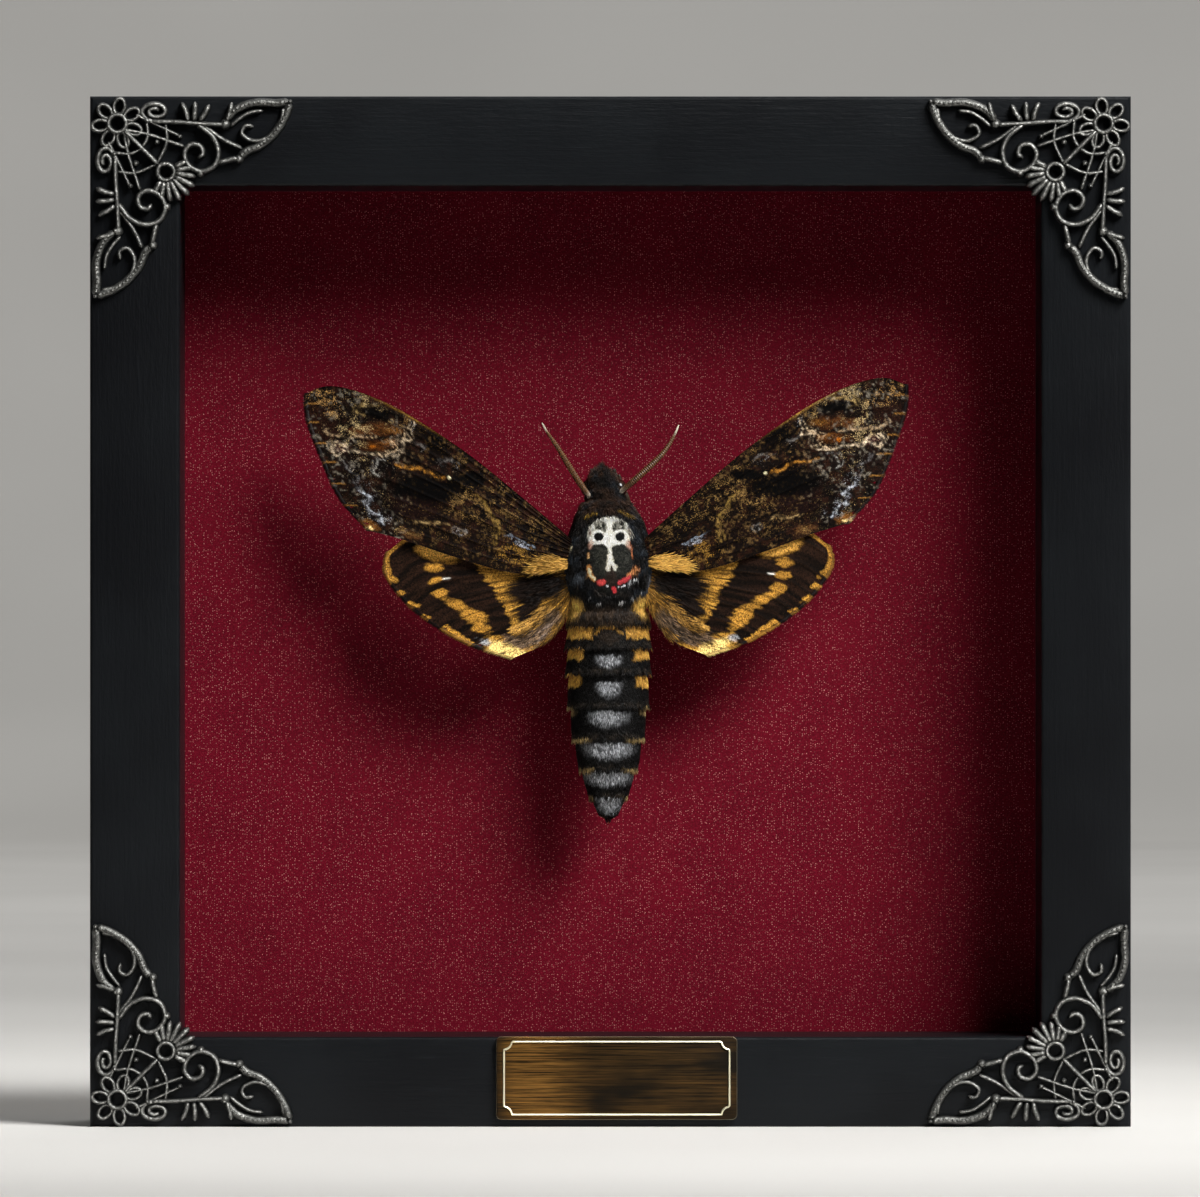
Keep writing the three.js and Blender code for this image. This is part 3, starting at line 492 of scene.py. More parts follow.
def sparkling_board():
    """Deep red paper full of tiny pale flakes."""
    n = Nodes("red_board", Roughness=0.7, Specular_IOR_Level=0.05)
    place = n.place()
    cloud = n.noise(place, 14, detail=4)
    grain = n.noise(place, 0.35, detail=2)
    red = n.blend(cloud, 0.3, 0.7, "#470310", "#510413")
    red = n.blend(grain, 0.35, 0.75, red, "#5e081a")
    for size, reach, rarest in ((0.42, 0.2, 0.5), (0.85, 0.13, 0.62)):
        sheet = n.place(turn=(math.pi / 2, 0, 0))
        flake = n.math("SUBTRACT", 1.0, n.step(n.cells(sheet, size, flat=True), reach * 0.6, reach * 1.3))
        chosen = n.add("ShaderNodeSeparateColor", "Red", {"Color": n.cells(sheet, size, "Color", flat=True)})
        bright = n.math("MULTIPLY", flake, n.step(chosen, rarest, 1.4))
        red = n.mix(bright, red, "#cf8680")
    n.set("Base Color", red)
    n.bump(grain, 0.06, 0.5)
    return n.material


def bare_board():
    """Brown hardboard, flecked."""
    n = Nodes("bare_board", Roughness=0.85, Specular_IOR_Level=0.2)
    fibres = n.noise(n.place((1, 1, 0.4)), 0.9, detail=5, roughness=0.7)
    specks = n.noise(n.place(), 2.5, detail=3)
    brown = n.blend(fibres, 0.3, 0.7, "#7b5a3a", "#9c7850")
    n.set("Base Color", n.blend(specks, 0.55, 0.8, brown, "#5e422a"))
    n.bump(fibres, 0.12, 0.6)
    return n.material


def zinc():
    """Galvanized steel with its spangles."""
    n = Nodes("zinc_fittings", Metallic=1.0)
    spangle = n.cells(n.place(), 1.6, "Color")
    tone = n.add("ShaderNodeSeparateColor", "Red", {"Color": spangle})
    n.set("Base Color", n.mix(tone, "#9a9da0", "#b9bcbe"))
    n.set("Roughness", n.between(n.noise(n.place(), 0.8), 0.28, 0.48))
    return n.material


def antique_silver():
    """Silver black in its hollows, as oxide and painted shade, and worn bright on its ridges, with a painted
    highlight there.
    """
    n = Nodes("antique_silver", Metallic=0.75)
    relief = n.attribute("relief", "Fac")
    rub = n.noise(n.place(), 0.55, detail=4, roughness=0.7)
    # Each bar's height, shaken by rubbing: oxide and painted shade low down, worn metal and a painted
    # highlight on top
    wear_and_painted_light = n.math("ADD", relief, n.math("MULTIPLY", n.math("SUBTRACT", rub, 0.5), 0.8))
    tone = n.blend(wear_and_painted_light, 0.3, 0.9, "#040404", "#565653")
    n.set("Base Color", n.blend(wear_and_painted_light, 0.85, 1.3, tone, "#d6d5ce"))
    n.set("Roughness", n.between(rub, 0.3, 0.6))
    n.bump(n.math("ADD", rub, n.math("MULTIPLY", n.cells(n.place(), 0.5), 0.7)), 0.16, 0.7)
    return n.material


def aged_brass():
    """Dark bronze with a painted golden sheen, brushed and brightest on the left, and a raised line worn
    bright and painted as a highlight.
    """
    n = Nodes("aged_brass", Metallic=0.85)
    brushed = n.noise(n.place((0.02, 1, 1)), 0.28, detail=4, roughness=0.7)
    patches = n.noise(n.place((0.35, 1, 1)), 9, detail=3, roughness=0.6)
    across = n.add("ShaderNodeSeparateXYZ", "X", {"Vector": n.place()})
    # A painted highlight on the left part of the plate, with patches of painted golden sheen, in brushed
    # streaks
    left = n.math("MULTIPLY", n.step(across, -0.002, -0.015), n.step(across, -0.023, -0.018))
    lit = n.math("ADD", n.math("MULTIPLY", n.step(patches, 0.35, 0.7), 0.28), left)
    painted_sheen = n.math("MULTIPLY", lit, n.step(brushed, 0.3, 0.7))
    tone = n.mix(painted_sheen, "#17120b", "#966b31")
    raised = n.attribute("relief", "Fac")
    # The raised line, and a little of the edge, worn bright and lightened further as a painted highlight
    n.set("Base Color", n.blend(raised, 0.35, 0.7, tone, "#fff6d2"))
    n.set("Roughness", n.between(brushed, 0.3, 0.55))
    n.bump(brushed, 0.03, 0.5)
    return n.material


def fur(name, gloss=0.42):
    """Hair in the colour of each tuft."""
    n = Nodes(name, Roughness=gloss, Specular_IOR_Level=0.13)
    tint = n.attribute("tint")
    strand = n.noise(n.place(), 0.12, detail=1)
    n.set("Base Color", n.mix(n.math("MULTIPLY", strand, 0.35), tint, (0.0, 0.0, 0.0)))
    return n.material


def scales(name):
    """Wing scales: each place has a ground colour and a dust of paler scales on it."""
    n = Nodes(name, Roughness=0.65, Specular_IOR_Level=0.03)
    place = n.place()
    ground = n.attribute("ground")
    dust = n.attribute("dust")
    amount = n.attribute("dust", "Alpha")
    grains = n.noise(place, 0.22, detail=2, roughness=0.8)
    limit = n.math("SUBTRACT", 0.72, n.math("MULTIPLY", amount, 0.23))
    over = n.step(n.math("SUBTRACT", grains, limit), -0.03, 0.07)
    shade = n.between(n.step(n.noise(place, 0.26, detail=2, roughness=0.8), 0.3, 0.7), 0.15, 2.0)
    toned = n.add("ShaderNodeVectorMath", "Vector", {0: ground, "Scale": shade}, operation="SCALE")
    varied = n.between(n.step(n.noise(place, 0.4, detail=3, roughness=0.7), 0.3, 0.7), 0.35, 1.75)
    dusted = n.add("ShaderNodeVectorMath", "Vector", {0: dust, "Scale": varied}, operation="SCALE")
    n.set("Base Color", n.mix(over, toned, dusted))
    tiles = n.cells(n.place(), 0.16)
    n.bump(n.math("ADD", tiles, grains), 0.05, 0.6)
    return n.material


def eye_gloss():
    """A dark, glossy eye with fine facets."""
    n = Nodes("moth_eye", Roughness=0.24, Specular_IOR_Level=0.5)
    facets = n.cells(n.place(), 0.09)
    n.set("Base Color", n.blend(n.noise(n.place(), 0.8), 0.3, 0.7, "#0d0806", "#24140c"))
    n.bump(facets, 0.01, 0.3)
    return n.material


def horn(name, dark, light, size_mm, tinted=False):
    """Brown horn, mottled at the given size, and tinted point by point where asked."""
    n = Nodes(name, Roughness=0.42, Specular_IOR_Level=0.3)
    mottle = n.noise(n.place(), size_mm, detail=3, roughness=0.65)
    colour = n.blend(mottle, 0.3, 0.75, dark, light)
    if tinted:
        colour = n.mix(0.55, colour, n.attribute("tint"))
    n.set("Base Color", colour)
    n.bump(mottle, 0.05, 0.5)
    return n.material


# Box

def rounded_profile():
    """The rail's section as inward and depth, with its outer and inner edges rounded."""
    r = RAIL_ROUNDING
    inner = RAIL_WIDTH
    points = []
    for middle, start in ((r, 180), (inner - r, 270)):
        for step in range(ROUNDING_STEPS + 1):
            a = math.radians(start + 90 / ROUNDING_STEPS * step)
            points.append((middle + r * math.cos(a), RAIL_FRONT + r + r * math.sin(a)))
    points += [
        (inner, REBATE_FRONT), (inner - REBATE_WIDTH, REBATE_FRONT), (inner - REBATE_WIDTH, RAIL_BACK),
        (r, RAIL_BACK), (0, RAIL_BACK - r),
    ]
    return points


def make_rails():
    """Four mitred rails, each from one section swept along its side."""
    profile = rounded_profile()
    count = len(profile)
    across, upright = painted_wood("painted_wood_across", "X"), painted_wood("painted_wood_upright", "Z")
    sides = {
        "bottom": (FRAME_WIDTH, across, lambda s, i: (s, i)),
        "top": (FRAME_WIDTH, across, lambda s, i: (-s, FRAME_HEIGHT - i)),
        "right": (FRAME_HEIGHT, upright, lambda s, i: (FRAME_WIDTH / 2 - i, FRAME_HEIGHT / 2 + s)),
        "left": (FRAME_HEIGHT, upright, lambda s, i: (-FRAME_WIDTH / 2 + i, FRAME_HEIGHT / 2 - s)),
    }
    stations = np.linspace(-1, 1, RAIL_STATIONS)
    for side, (length, material, place) in sides.items():
        points = []
        for share in stations:
            for inward, depth in profile:
                x, z = place(share * (length / 2 - inward), inward)
                points.append((x, depth, z))
        faces = grid_faces(len(stations), count, wrap=True)[:, ::-1].tolist()
        faces.append(list(range(count)))
        faces.append(list(range(len(points) - count, len(points)))[::-1])
        piece = make_piece(
            f"frame_{side}", points, faces, material, "painted_wood", [f"rail_{side}"], smooth=False)
        piece.data.set_sharp_from_angle(angle=math.radians(30))
        for polygon in piece.data.polygons:
            polygon.use_smooth = len(polygon.vertices) == 4


def dress_back():
    """The CAD's own board, panel, tabs, hanger and post, in their real finish."""
    looks = {"red_board": sparkling_board(), "bare_board": bare_board(), "zinc_fittings": zinc()}
    for row in frame["record"]["subparts"]:
        look = looks.get(row["material_slot"])
        if look:
            node = frame["nodes"][row["node"]]
            node.data.materials.clear()
            node.data.materials.append(look)


# Section of a rounded bar, as shares of its width and height
BAR_SECTION = [(-0.5, 0), (-0.46, 0.42), (-0.27, 0.85), (0, 1), (0.27, 0.85), (0.46, 0.42), (0.5, 0)]


def relief_stroke(line, width, height, closed=False):
    """A rounded bar along a fine flat line, as points (u, v, height), its relief and faces."""
    count = len(line) - 1 if closed else len(line)
    tangents = np.gradient(line, axis=0)
    if closed:
        tangents[0] = line[1] - line[-2]
    tangents /= np.linalg.norm(tangents, axis=1)[:, None]
    walked = np.concatenate([[0], np.cumsum(np.linalg.norm(np.diff(line, axis=0), axis=1))])
    from_end = np.minimum(walked, walked[-1] - walked)
    full = np.ones(len(line)) if closed else np.sqrt(np.clip(from_end / (width / 2), 0.05, 1))
    points = []
    relief = []
    for k in range(count):
        side = np.array([-tangents[k][1], tangents[k][0]])
        for across, up in BAR_SECTION:
            u, v = line[k] + side * across * width * full[k]
            points.append((u, v, up * height * full[k]))
            relief.append(up)
    size = len(BAR_SECTION)
    faces = grid_faces(count, size, wrap=True).tolist()
    if closed:
        last = (count - 1) * size
        faces += [[last + j, j, (j + 1) % size, last + (j + 1) % size] for j in range(size)]
    else:
        faces += [list(range(size)), list(range((count - 1) * size, count * size))[::-1]]
    return np.array(points), relief, faces


def bead(u, v, radius, height):
    """A low round bead."""
    rings, sides = 4, 14
    points = []
    relief = []
    for ring in range(rings + 1):
        a = math.pi / 2 * ring / (rings + 0.6)
        for k in range(sides):
            b = 2 * math.pi * k / sides
            reach = radius * math.cos(a)
            points.append((u + reach * math.cos(b), v + reach * math.sin(b), height * math.sin(a)))
            relief.append(0.25 + 0.75 * math.sin(a))
    faces = grid_faces(rings + 1, sides, wrap=True)[:, ::-1].tolist()
    faces += [list(range(sides)), list(range(rings * sides, (rings + 1) * sides))]
    return np.array(points), relief, faces


def ring_line(u, v, radius, squash=1.0, turn=0.0, count=10):
    """Points round an ellipse."""
    angles = np.linspace(0, 2 * math.pi, count, endpoint=False)
    a = math.radians(turn)
    out = radius * np.cos(angles)
    side = radius * squash * np.sin(angles)
    cosine, sine = math.cos(a), math.sin(a)
    return [(u + o * cosine - s * sine, v + o * sine + s * cosine) for o, s in zip(out, side)]


def spiral_line(u, v, radius_u, radius_v, turns, shrink):
    """Points of a scroll that starts above its middle and winds inwards."""
    shares = np.linspace(0, 1, 26)
    angles = np.radians(90) + shares * turns * 2 * math.pi
    size = 1 - shrink * shares
    return list(zip(u + radius_u * size * np.cos(angles), v + radius_v * size * np.sin(angles)))


# Pierced work of one corner: u along one side and v along the other, for one half
FLOWER = {"middle": 5, "ring": 1.7, "petals": 7, "reach": 4.6}
FAN = {"middle": 14.3, "ring": 1.6, "petals": 9, "from": -28, "to": 118, "reach": 4.9, "swell": 1.4}
# Bars: places, width as a share of the ornament's stroke, and level
HALF_STROKES = [
    ([(11.4, 4.6), (16.5, 4.7), (20.4, 5.0), (25.6, 5.2)], 1.0, "height"),  # stem
    ([(37.0, 1.9), (36.4, 4.6), (33.8, 7.7), (31.0, 8.3), (28.9, 6.9), (29.6, 5.4), (31.2, 5.6)], 0.9, "low"),
    ([(21.4, 5.2), (25.2, 8.0), (29.0, 9.8)], 0.9, "low"),  # the leaf's vein and rib
    ([(26.6, 5.6), (28.4, 4.1), (30.4, 2.9), (33.0, 2.5)], 0.8, "low"),
    ([(28.4, 11.6), (26.4, 12.0), (24.2, 12.6)], 1.1, "height"),  # swag and scroll
    ([(20.2, 5.1), (23.2, 7.4), (24.4, 10.4), (23.6, 13.1), (21.0, 14.2), (18.6, 12.9), (17.9, 10.6),
      (19.2, 9.0), (21.0, 9.4), (21.4, 10.9), (20.4, 11.6)], 1.1, "height"),
    ([(14.2, 4.8), (14.5, 8.4), (12.7, 12.7)], 0.75, "low"),  # net
    ([(10.6, 4.4), (10.8, 7.6), (9.7, 9.7)], 0.75, "low"),
    ([(6.2, 6.2), (10.6, 7.0), (17.9, 9.4)], 0.75, "low"),
    ([(8.4, 3.2), (10.8, 4.4), (17.0, 7.4)], 0.7, "low"),
    ([(25.9, 4.8), (26.6, 2.8), (27.0, 0.9)], 1.1, "height"),  # prong and fingers
    ([(18.6, 4.8), (18.2, 2.8), (17.3, 0.9)], 1.15, "height"),
    ([(19.6, 4.8), (19.9, 2.8), (19.9, 0.8)], 1.15, "height"),
    ([(20.6, 4.8), (21.8, 3.1), (22.7, 1.3)], 1.15, "height"),
]
LEAF_OUTER = [(25.6, 4.6), (27.8, 2.3), (31.6, 1.0), (35.6, 1.1), (38.2, 0.8)]
LEAF_EDGE = [(38.2, 0.8), (37.2, 3.6), (35.2, 6.8), (32.4, 9.2), (29.6, 10.4), (28.4, 11.8)]
DIAGONAL = [(6.2, 6.2), (13, 13)]
# A scroll as u, v, its two radii, its turns and how much it shrinks
SCROLL = (12.3, 2.7, 2.9, 1.9, 1.75, 0.8)
# Beads as u, v and radius, and the row of beads along the leaf's edging
BEADS = [
    (25.7, 5.1, 1.1), (28.4, 11.8, 0.95), (21.0, 14.5, 0.85), (12.6, 8.6, 0.6), (10.8, 4.5, 0.6),
    (17.0, 7.5, 0.55),
]
RIM_BEAD = {"pitch": 0.85, "radius": 0.46}
BAR_PITCH = 0.4
FINE_PITCH = 0.3


def corner_half(heights, width):
    """The bars and beads on one side of a corner's diagonal."""
    half = [
        relief_stroke(even_line(line, BAR_PITCH), width * wide, heights[level])
        for line, wide, level in HALF_STROKES]
    half.append(relief_stroke(even_line(spiral_line(*SCROLL), BAR_PITCH), width, heights["low"]))
    for line in (LEAF_OUTER, LEAF_EDGE):
        edging = even_line(line, FINE_PITCH)
        half.append(relief_stroke(edging, ORNAMENT["edging"], heights["height"] * 0.8))
        rim = even_line(line, RIM_BEAD["pitch"])
        half += [bead(u, v, RIM_BEAD["radius"], heights["height"]) for u, v in rim]
    return half + [bead(u, v, radius, heights["height"] * 0.98) for u, v, radius in BEADS]


def flower_and_fan(heights, width):
    """The ring of petals in the corner, and the ring of rays further in."""
    height = heights["height"]
    pieces = []
    for part in (FLOWER, FAN):
        middle = part["middle"]
        ring = even_line(ring_line(middle, middle, part["ring"]), BAR_PITCH, True)
        pieces.append(relief_stroke(ring, width, height, True))
        if part is FAN:
            continue
        for k in range(FLOWER["petals"]):
            turn = 45 + (k + 0.5) * 360 / FLOWER["petals"]
            out = (FLOWER["ring"] + FLOWER["reach"]) / 2 + 0.15
            a = math.radians(turn)
            place = (middle + out * math.cos(a), middle + out * math.sin(a))
            petal = ring_line(*place, (FLOWER["reach"] - FLOWER["ring"]) / 2 + 0.1, 0.68, turn)
            petal = even_line(petal, FINE_PITCH, True)
            pieces.append(relief_stroke(petal, width * 0.8, heights["low"], True))
    for share in np.linspace(0, 1, FAN["petals"]):
        a = math.radians(FAN["from"] + (FAN["to"] - FAN["from"]) * share)
        reach = FAN["reach"] + FAN["swell"] * math.sin(math.pi * share)
        ends = [(middle + d * math.cos(a), middle + d * math.sin(a)) for d in (FAN["ring"], reach)]
        pieces.append(relief_stroke(even_line(ends, FINE_PITCH), width * 1.3, height))
    return pieces


def corner_work():
    """All the bars and beads of one corner as points (u, v, height), relief and faces."""
    heights = {"height": ORNAMENT["height"], "low": ORNAMENT["low"]}
    width = ORNAMENT["stroke"]
    pieces = []
    for points, relief, faces in corner_half(heights, width):
        pieces.append((points, relief, faces))
        pieces.append((points[:, [1, 0, 2]], relief, [face[::-1] for face in faces]))
    pieces.append(relief_stroke(even_line(DIAGONAL, BAR_PITCH), width, heights["height"]))
    return pieces + flower_and_fan(heights, width)


def make_corners():
    """The same pierced corner piece on each corner of the frame, turned by quarters."""
    silver = antique_silver()
    pieces = corner_work()
    points = np.vstack([p for p, _, _ in pieces])
    relief = np.concatenate([np.asarray(r) for _, r, _ in pieces])
    faces = joined([(p, f) for p, _, f in pieces])[1]
    uneven = ORNAMENT["uneven"] * (random.random(points.shape) - 0.5)
    u, v, up = (points + uneven * (points[:, 2:] > 0.2)).T
    depth = np.where(up > 0.01, RAIL_FRONT - GAP - up, RAIL_FRONT)
    x = FRAME_WIDTH / 2 - ORNAMENT["from_edge"]
    low = ORNAMENT["from_edge"]
    high = FRAME_HEIGHT - ORNAMENT["from_edge"]
    # Where each corner is, and the cosine and sine of its turn
    corners = {
        "bottom_left": (-x, low, 1, 0), "bottom_right": (x, low, 0, 1), "top_right": (x, high, -1, 0),
        "top_left": (-x, high, 0, -1),
    }
    for name, (corner_x, corner_z, cosine, sine) in corners.items():
        placed = np.column_stack([corner_x + u * cosine - v * sine, depth, corner_z + u * sine + v * cosine])
        make_piece(f"ornament_{name}", placed, faces, silver, "antique_silver", [f"corner_{name}"],
                   floats={"relief": relief})


def oblong(width, height, corner, scooped):
    """An oblong's outline whose corners are rounded, or scooped out."""
    points = []
    for sx, sz, start in ((1, -1, -90), (1, 1, 0), (-1, 1, 90), (-1, -1, 180)):
        inset = 0 if scooped else corner
        middle = (sx * (width / 2 - inset), sz * (height / 2 - inset))
        for turn in np.linspace(0, 90, 9):
            a = math.radians(start + 270 - turn if scooped else start + turn)
            points.append((middle[0] + corner * math.cos(a), middle[1] + corner * math.sin(a)))
    return np.array(points)


def make_plate():
    """A blank plate with a rounded edge and a raised line with scooped corners."""
    bevel, thickness = PLATE["bevel"], PLATE["thickness"]
    rings = []
    soft = bevel * 0.3
    for inset, up in ((0, -GAP), (0, thickness - bevel), (soft, thickness - soft), (bevel, thickness)):
        outline = oblong(PLATE["width"] - 2 * inset, PLATE["height"] - 2 * inset, PLATE["corner"], False)
        rings.append(np.column_stack([outline, np.full(len(outline), up)]))
    count = len(rings[0])
    faces = grid_faces(len(rings), count, wrap=True)[:, ::-1].tolist()
    faces += [list(range(count))[::-1], list(range(3 * count, 4 * count))]
    body = np.vstack(rings)
    edge = np.where(body[:, 2] < thickness - 0.01, 0.45, 0.0)
    width = PLATE["width"] - 2 * PLATE_BORDER["side"]
    line = oblong(width, PLATE["height"] - 2 * PLATE_BORDER["top"], PLATE_BORDER["notch"], True)
    line = along_line(np.vstack([line, line[0]]), np.linspace(0, 1, 260))
    border, relief, border_faces = relief_stroke(line, PLATE_BORDER["line"], PLATE_BORDER["height"], True)
    border = border + np.array([0, 0, thickness - 0.02])
    points, faces = joined([(body, faces), (border, border_faces)])
    x, z, up = points.T
    placed = np.column_stack([PLATE["x"] + x, RAIL_FRONT - GAP - up, PLATE["z"] + z])
    piece = make_piece("plate", placed, faces, aged_brass(), "aged_brass", ["name_plate"],
                       floats={"relief": np.concatenate([edge, 0.3 + 0.7 * np.array(relief)])})
    piece.data.set_sharp_from_angle(angle=math.radians(35))


# Body

def smooth_table(stations):
    """Half width, half depth and shift at fine steps, from a table of stations."""
    s = np.array(stations, float)
    fine = []
    for k in range(len(s) - 1):
        a, b, c, d = s[max(k - 1, 0)], s[k], s[k + 1], s[min(k + 2, len(s) - 1)]
        t = np.linspace(0, 1, 20, endpoint=False)[:, None]
        bend = (c - a) * t + (2 * a - 5 * b + 4 * c - d) * t**2 + (3 * b - a - 3 * c + d) * t**3
        fine.append(b + 0.5 * bend)
        fine[-1][:, 0] = (b[0] + (c[0] - b[0]) * t)[:, 0]
    return np.vstack([*fine, s[-1]])


TABLES = {
    "abdomen": smooth_table(ABDOMEN_STATIONS), "thorax": smooth_table(THORAX_STATIONS),
    "head": smooth_table(HEAD_STATIONS),
}


def eased_sizes():
    """Distances along the body, and the skin's half width, half depth and shift there."""
    samples = np.linspace(0, BODY_LENGTH, 900)
    sizes = np.zeros((900, 3))
    for part, table in TABLES.items():
        inside = (samples >= table[0, 0]) & (samples <= table[-1, 0])
        for column in (0, 1):
            size = np.interp(samples, table[:, 0], table[:, column + 1])
            size = size - COAT_DEPTH[part] * ramp(samples, 0, 4)
            sizes[:, column] = np.where(inside, np.maximum(sizes[:, column], size), sizes[:, column])
    sizes[:, 2] = np.interp(samples, *zip(*HEAD_SHIFT))
    kernel = np.hanning(13)
    kernel /= kernel.sum()
    padded = np.pad(sizes, ((6, 6), (0, 0)), mode="edge")
    eased = np.column_stack([np.convolve(padded[:, c], kernel, "valid") for c in range(3)])
    return samples, np.maximum(eased, [[0.12, 0.12, -9]])


SAMPLES, EASED = eased_sizes()


def body_sizes(s):
    """Half width, half depth and shift of the skin at distances s, eased over waist and neck."""
    return [np.interp(s, SAMPLES, EASED[:, c]) for c in range(3)]


def side_of(angle):
    """Degrees round the body from the middle of its back."""
    return np.minimum(angle % 360, 360 - angle % 360)


def skin_swell(s, angle):
    """How far the shoulder covers, the skull patch and the abdomen's segments stand out."""
    side = side_of(angle)
    middle = (TEGULA["from"] + TEGULA["to"]) / 2
    along = bump(s, middle, (TEGULA["to"] - TEGULA["from"]) / 2)
    cover = TEGULA["rise"] * bump(side, TEGULA["angle"], TEGULA["width"])
    groove = SKULL_GROOVE["depth"] * bump(side, SKULL_GROOVE["angle"], SKULL_GROOVE["width"])
    swell = along * (cover - groove)
    edges = np.array([0, *SEGMENT_EDGES])
    index = np.clip(np.searchsorted(edges, s, side="left") - 1, 0, len(edges) - 2)
    part = np.clip((s - edges[index]) / (edges[index + 1] - edges[index]), 0, 1)
    step = SEGMENT_STEP * body_sizes(s)[0] * (1 - 2 * part) * (1 - ramp(part, 0.9, 1.0) * 0.5)
    return swell + np.where(s < SEGMENT_EDGES[-1], step, 0)


def skin_point(s, angle):
    """A point of the body's skin; angle 0 faces the viewer."""
    half_width, half_depth, shift = body_sizes(s)
    more = skin_swell(s, angle)
    a = np.radians(angle)
    return np.column_stack([
        BODY_X + shift + np.sin(a) * (half_width + more),
        BODY_Y - np.cos(a) * (half_depth + more),
        BODY_TIP_Z + s,
    ])


def skin_frame(s, angle):
    """Outward normals and tailward directions on the skin."""
    step = 0.15
    back = skin_point(s - step, angle) - skin_point(s + step, angle)
    round_ = skin_point(s, angle + 0.5) - skin_point(s, angle - 0.5)
    back /= np.linalg.norm(back, axis=1)[:, None]
    normal = np.cross(back, round_)
    normal /= np.linalg.norm(normal, axis=1)[:, None]
    axis = np.column_stack([np.full(len(s), BODY_X), np.full(len(s), BODY_Y), BODY_TIP_Z + s])
    flip = np.sign((normal * (skin_point(s, angle) - axis)).sum(axis=1))
    return normal * flip[:, None], back


# Skull patch, in millimetres across and along the body
SKULL_X = -0.15
SKULL_EYES = [(-2.07, 54.53), (2.01, 54.6)]
# Shades on the right half of the face: middle, radii, turn, colour and strength
SKULL_SHADES = [
    ((3.1, 54.9), (0.5, 1.2), 10, "#6b6a58", 0.7), ((3.6, 53.2), (0.5, 1.0), 14, "#b98f7c", 0.75),
    ((3.75, 55.4), (0.22, 0.8), 8, "#6b4436", 0.8),
]
# The nose's bones: places and width
SKULL_NOSE = [
    ([(-0.15, 58.0), (0.0, 55.6)], 0.4), ([(0.0, 55.6), (0.05, 54.0)], 1.0),
    ([(0.05, 54.0), (0.1, 50.6)], 0.6), ([(0.1, 50.8), (0.12, 49.9)], 1.0),
    ([(0.05, 50.0), (-0.45, 48.3)], 0.75), ([(0.2, 50.0), (1.05, 48.5)], 0.75),
]
# The cheeks and jaw: places, width, colour and strength
SKULL_RIM = [
    ([(-4.05, 51.3), (-4.1, 50.5)], 0.4, "#d9a06a", 1),
    ([(3.9, 53.4), (4.4, 51.2), (4.4, 50.4)], 0.25, "#a8643c", 1),
    ([(-4.05, 48.7), (-3.75, 47.2), (-3.0, 46.5)], 0.85, "#c98a4a", 1),
    ([(-3.95, 48.3), (-3.55, 47.0), (-2.8, 46.5)], 0.45, "#f5e2ae", 1),
    ([(5.1, 48.5), (4.4, 47.5), (3.7, 46.9)], 0.9, "#cf8a55", 1),
]
SKULL_TEETH = [([(1.7, 44.9), (3.2, 45.2), (5.4, 46.6)], 0.3), ([(-0.75, 45.0), (-0.45, 44.9)], 0.32)]


def skull_colour(x, s, ground):
    """Paints the skull patch on the thorax's back."""
    x = x - SKULL_X
    flat = np.column_stack([x, s])
    x = shaken(x, 0.28, flat, 0.5, 5)
    s = shaken(s, 0.28, flat, 0.5, 6)
    speckle = ramp(noise(flat, 0.28, 7), 0.2, 0.8)
    colour = lay(ground, "#161613", spot(x, s, (0.05, 50.9), (4.35, 7.3), soft=0.05))
    colour = lay(colour, "#45453c", 0.55 * speckle * spot(x, s, (0.05, 50.2), (3.9, 3.6), soft=0.25))
    cheeks = [spot(x, s, (middle, 51.3), (2.15, 1.9), soft=0.08) for middle in (-2.05, 2.1)]
    cap = spot(x, s, (-0.05, 54.75), (4.15, 3.45), soft=0.06)
    cap = cap * (1 - np.minimum(cheeks[0] + cheeks[1], 1)) * ramp(s, 51.7, 52.1)
    colour = lay(colour, "#fffbe8", cap)
    for sign in (-1, 1):
        brow = spot(x, s, (sign * 1.6, 56.35), (1.3, 1.2), sign * 30, soft=0.15)
        colour = lay(colour, "#181812", (0.75 + 0.25 * speckle) * brow)
        shades = [((sign * a, b), radii, sign * turn, *rest) for (a, b), radii, turn, *rest in SKULL_SHADES]
        colour = lay_spots(colour, x, s, shades, 0.4)
    for eye in SKULL_EYES:
        ring = ring_line(*eye, 1.2, 0.95)
        colour = lay(colour, "#fbf5e4", stroke(x, s, [*ring, ring[0]], 0.55))
        colour = lay(colour, "#050404", spot(x, s, eye, (0.95, 0.9), soft=0.1))
    nose = np.max([stroke(x, s, line, width) for line, width in SKULL_NOSE], axis=0)
    colour = lay(colour, "#2a201a", spot(x, s, (0.3, 46.8), (1.05, 1.7), soft=0.25))
    colour = lay(colour, "#fff6dc", nose)
    colour = lay_lines(colour, x, s, SKULL_RIM)
    colour = lay(colour, "#cf4a48", spot(x, s, (-1.6, 45.8), (0.85, 0.6), 4, soft=0.3))
    colour = lay(colour, "#c64247", stroke(x, s, [(1.9, 45.8), (3.0, 46.3), (4.0, 46.9)], 0.75))
    colour = lay(colour, "#b8353a", spot(x, s, (0.85, 44.3), (0.42, 0.7), soft=0.25))
    teeth = sum(stroke(x, s, line, width) for line, width in SKULL_TEETH)
    return lay(colour, "#f1f4f6", np.minimum(teeth, 1) * ramp(noise(flat, 0.4, 8), 0.25, 0.5))


# Bands of the abdomen: middle, half width and how far from the midline they start
YELLOW_BANDS = [(36.1, 1.35, 2.9), (31.8, 1.05, 4.5), (26.6, 1.3, 5.0)]
PALE_BANDS = [(20.9, 0.9, 5.8), (15.2, 0.45, 2.8), (9.3, 0.5, 2.2), (3.9, 0.6, 2.2)]
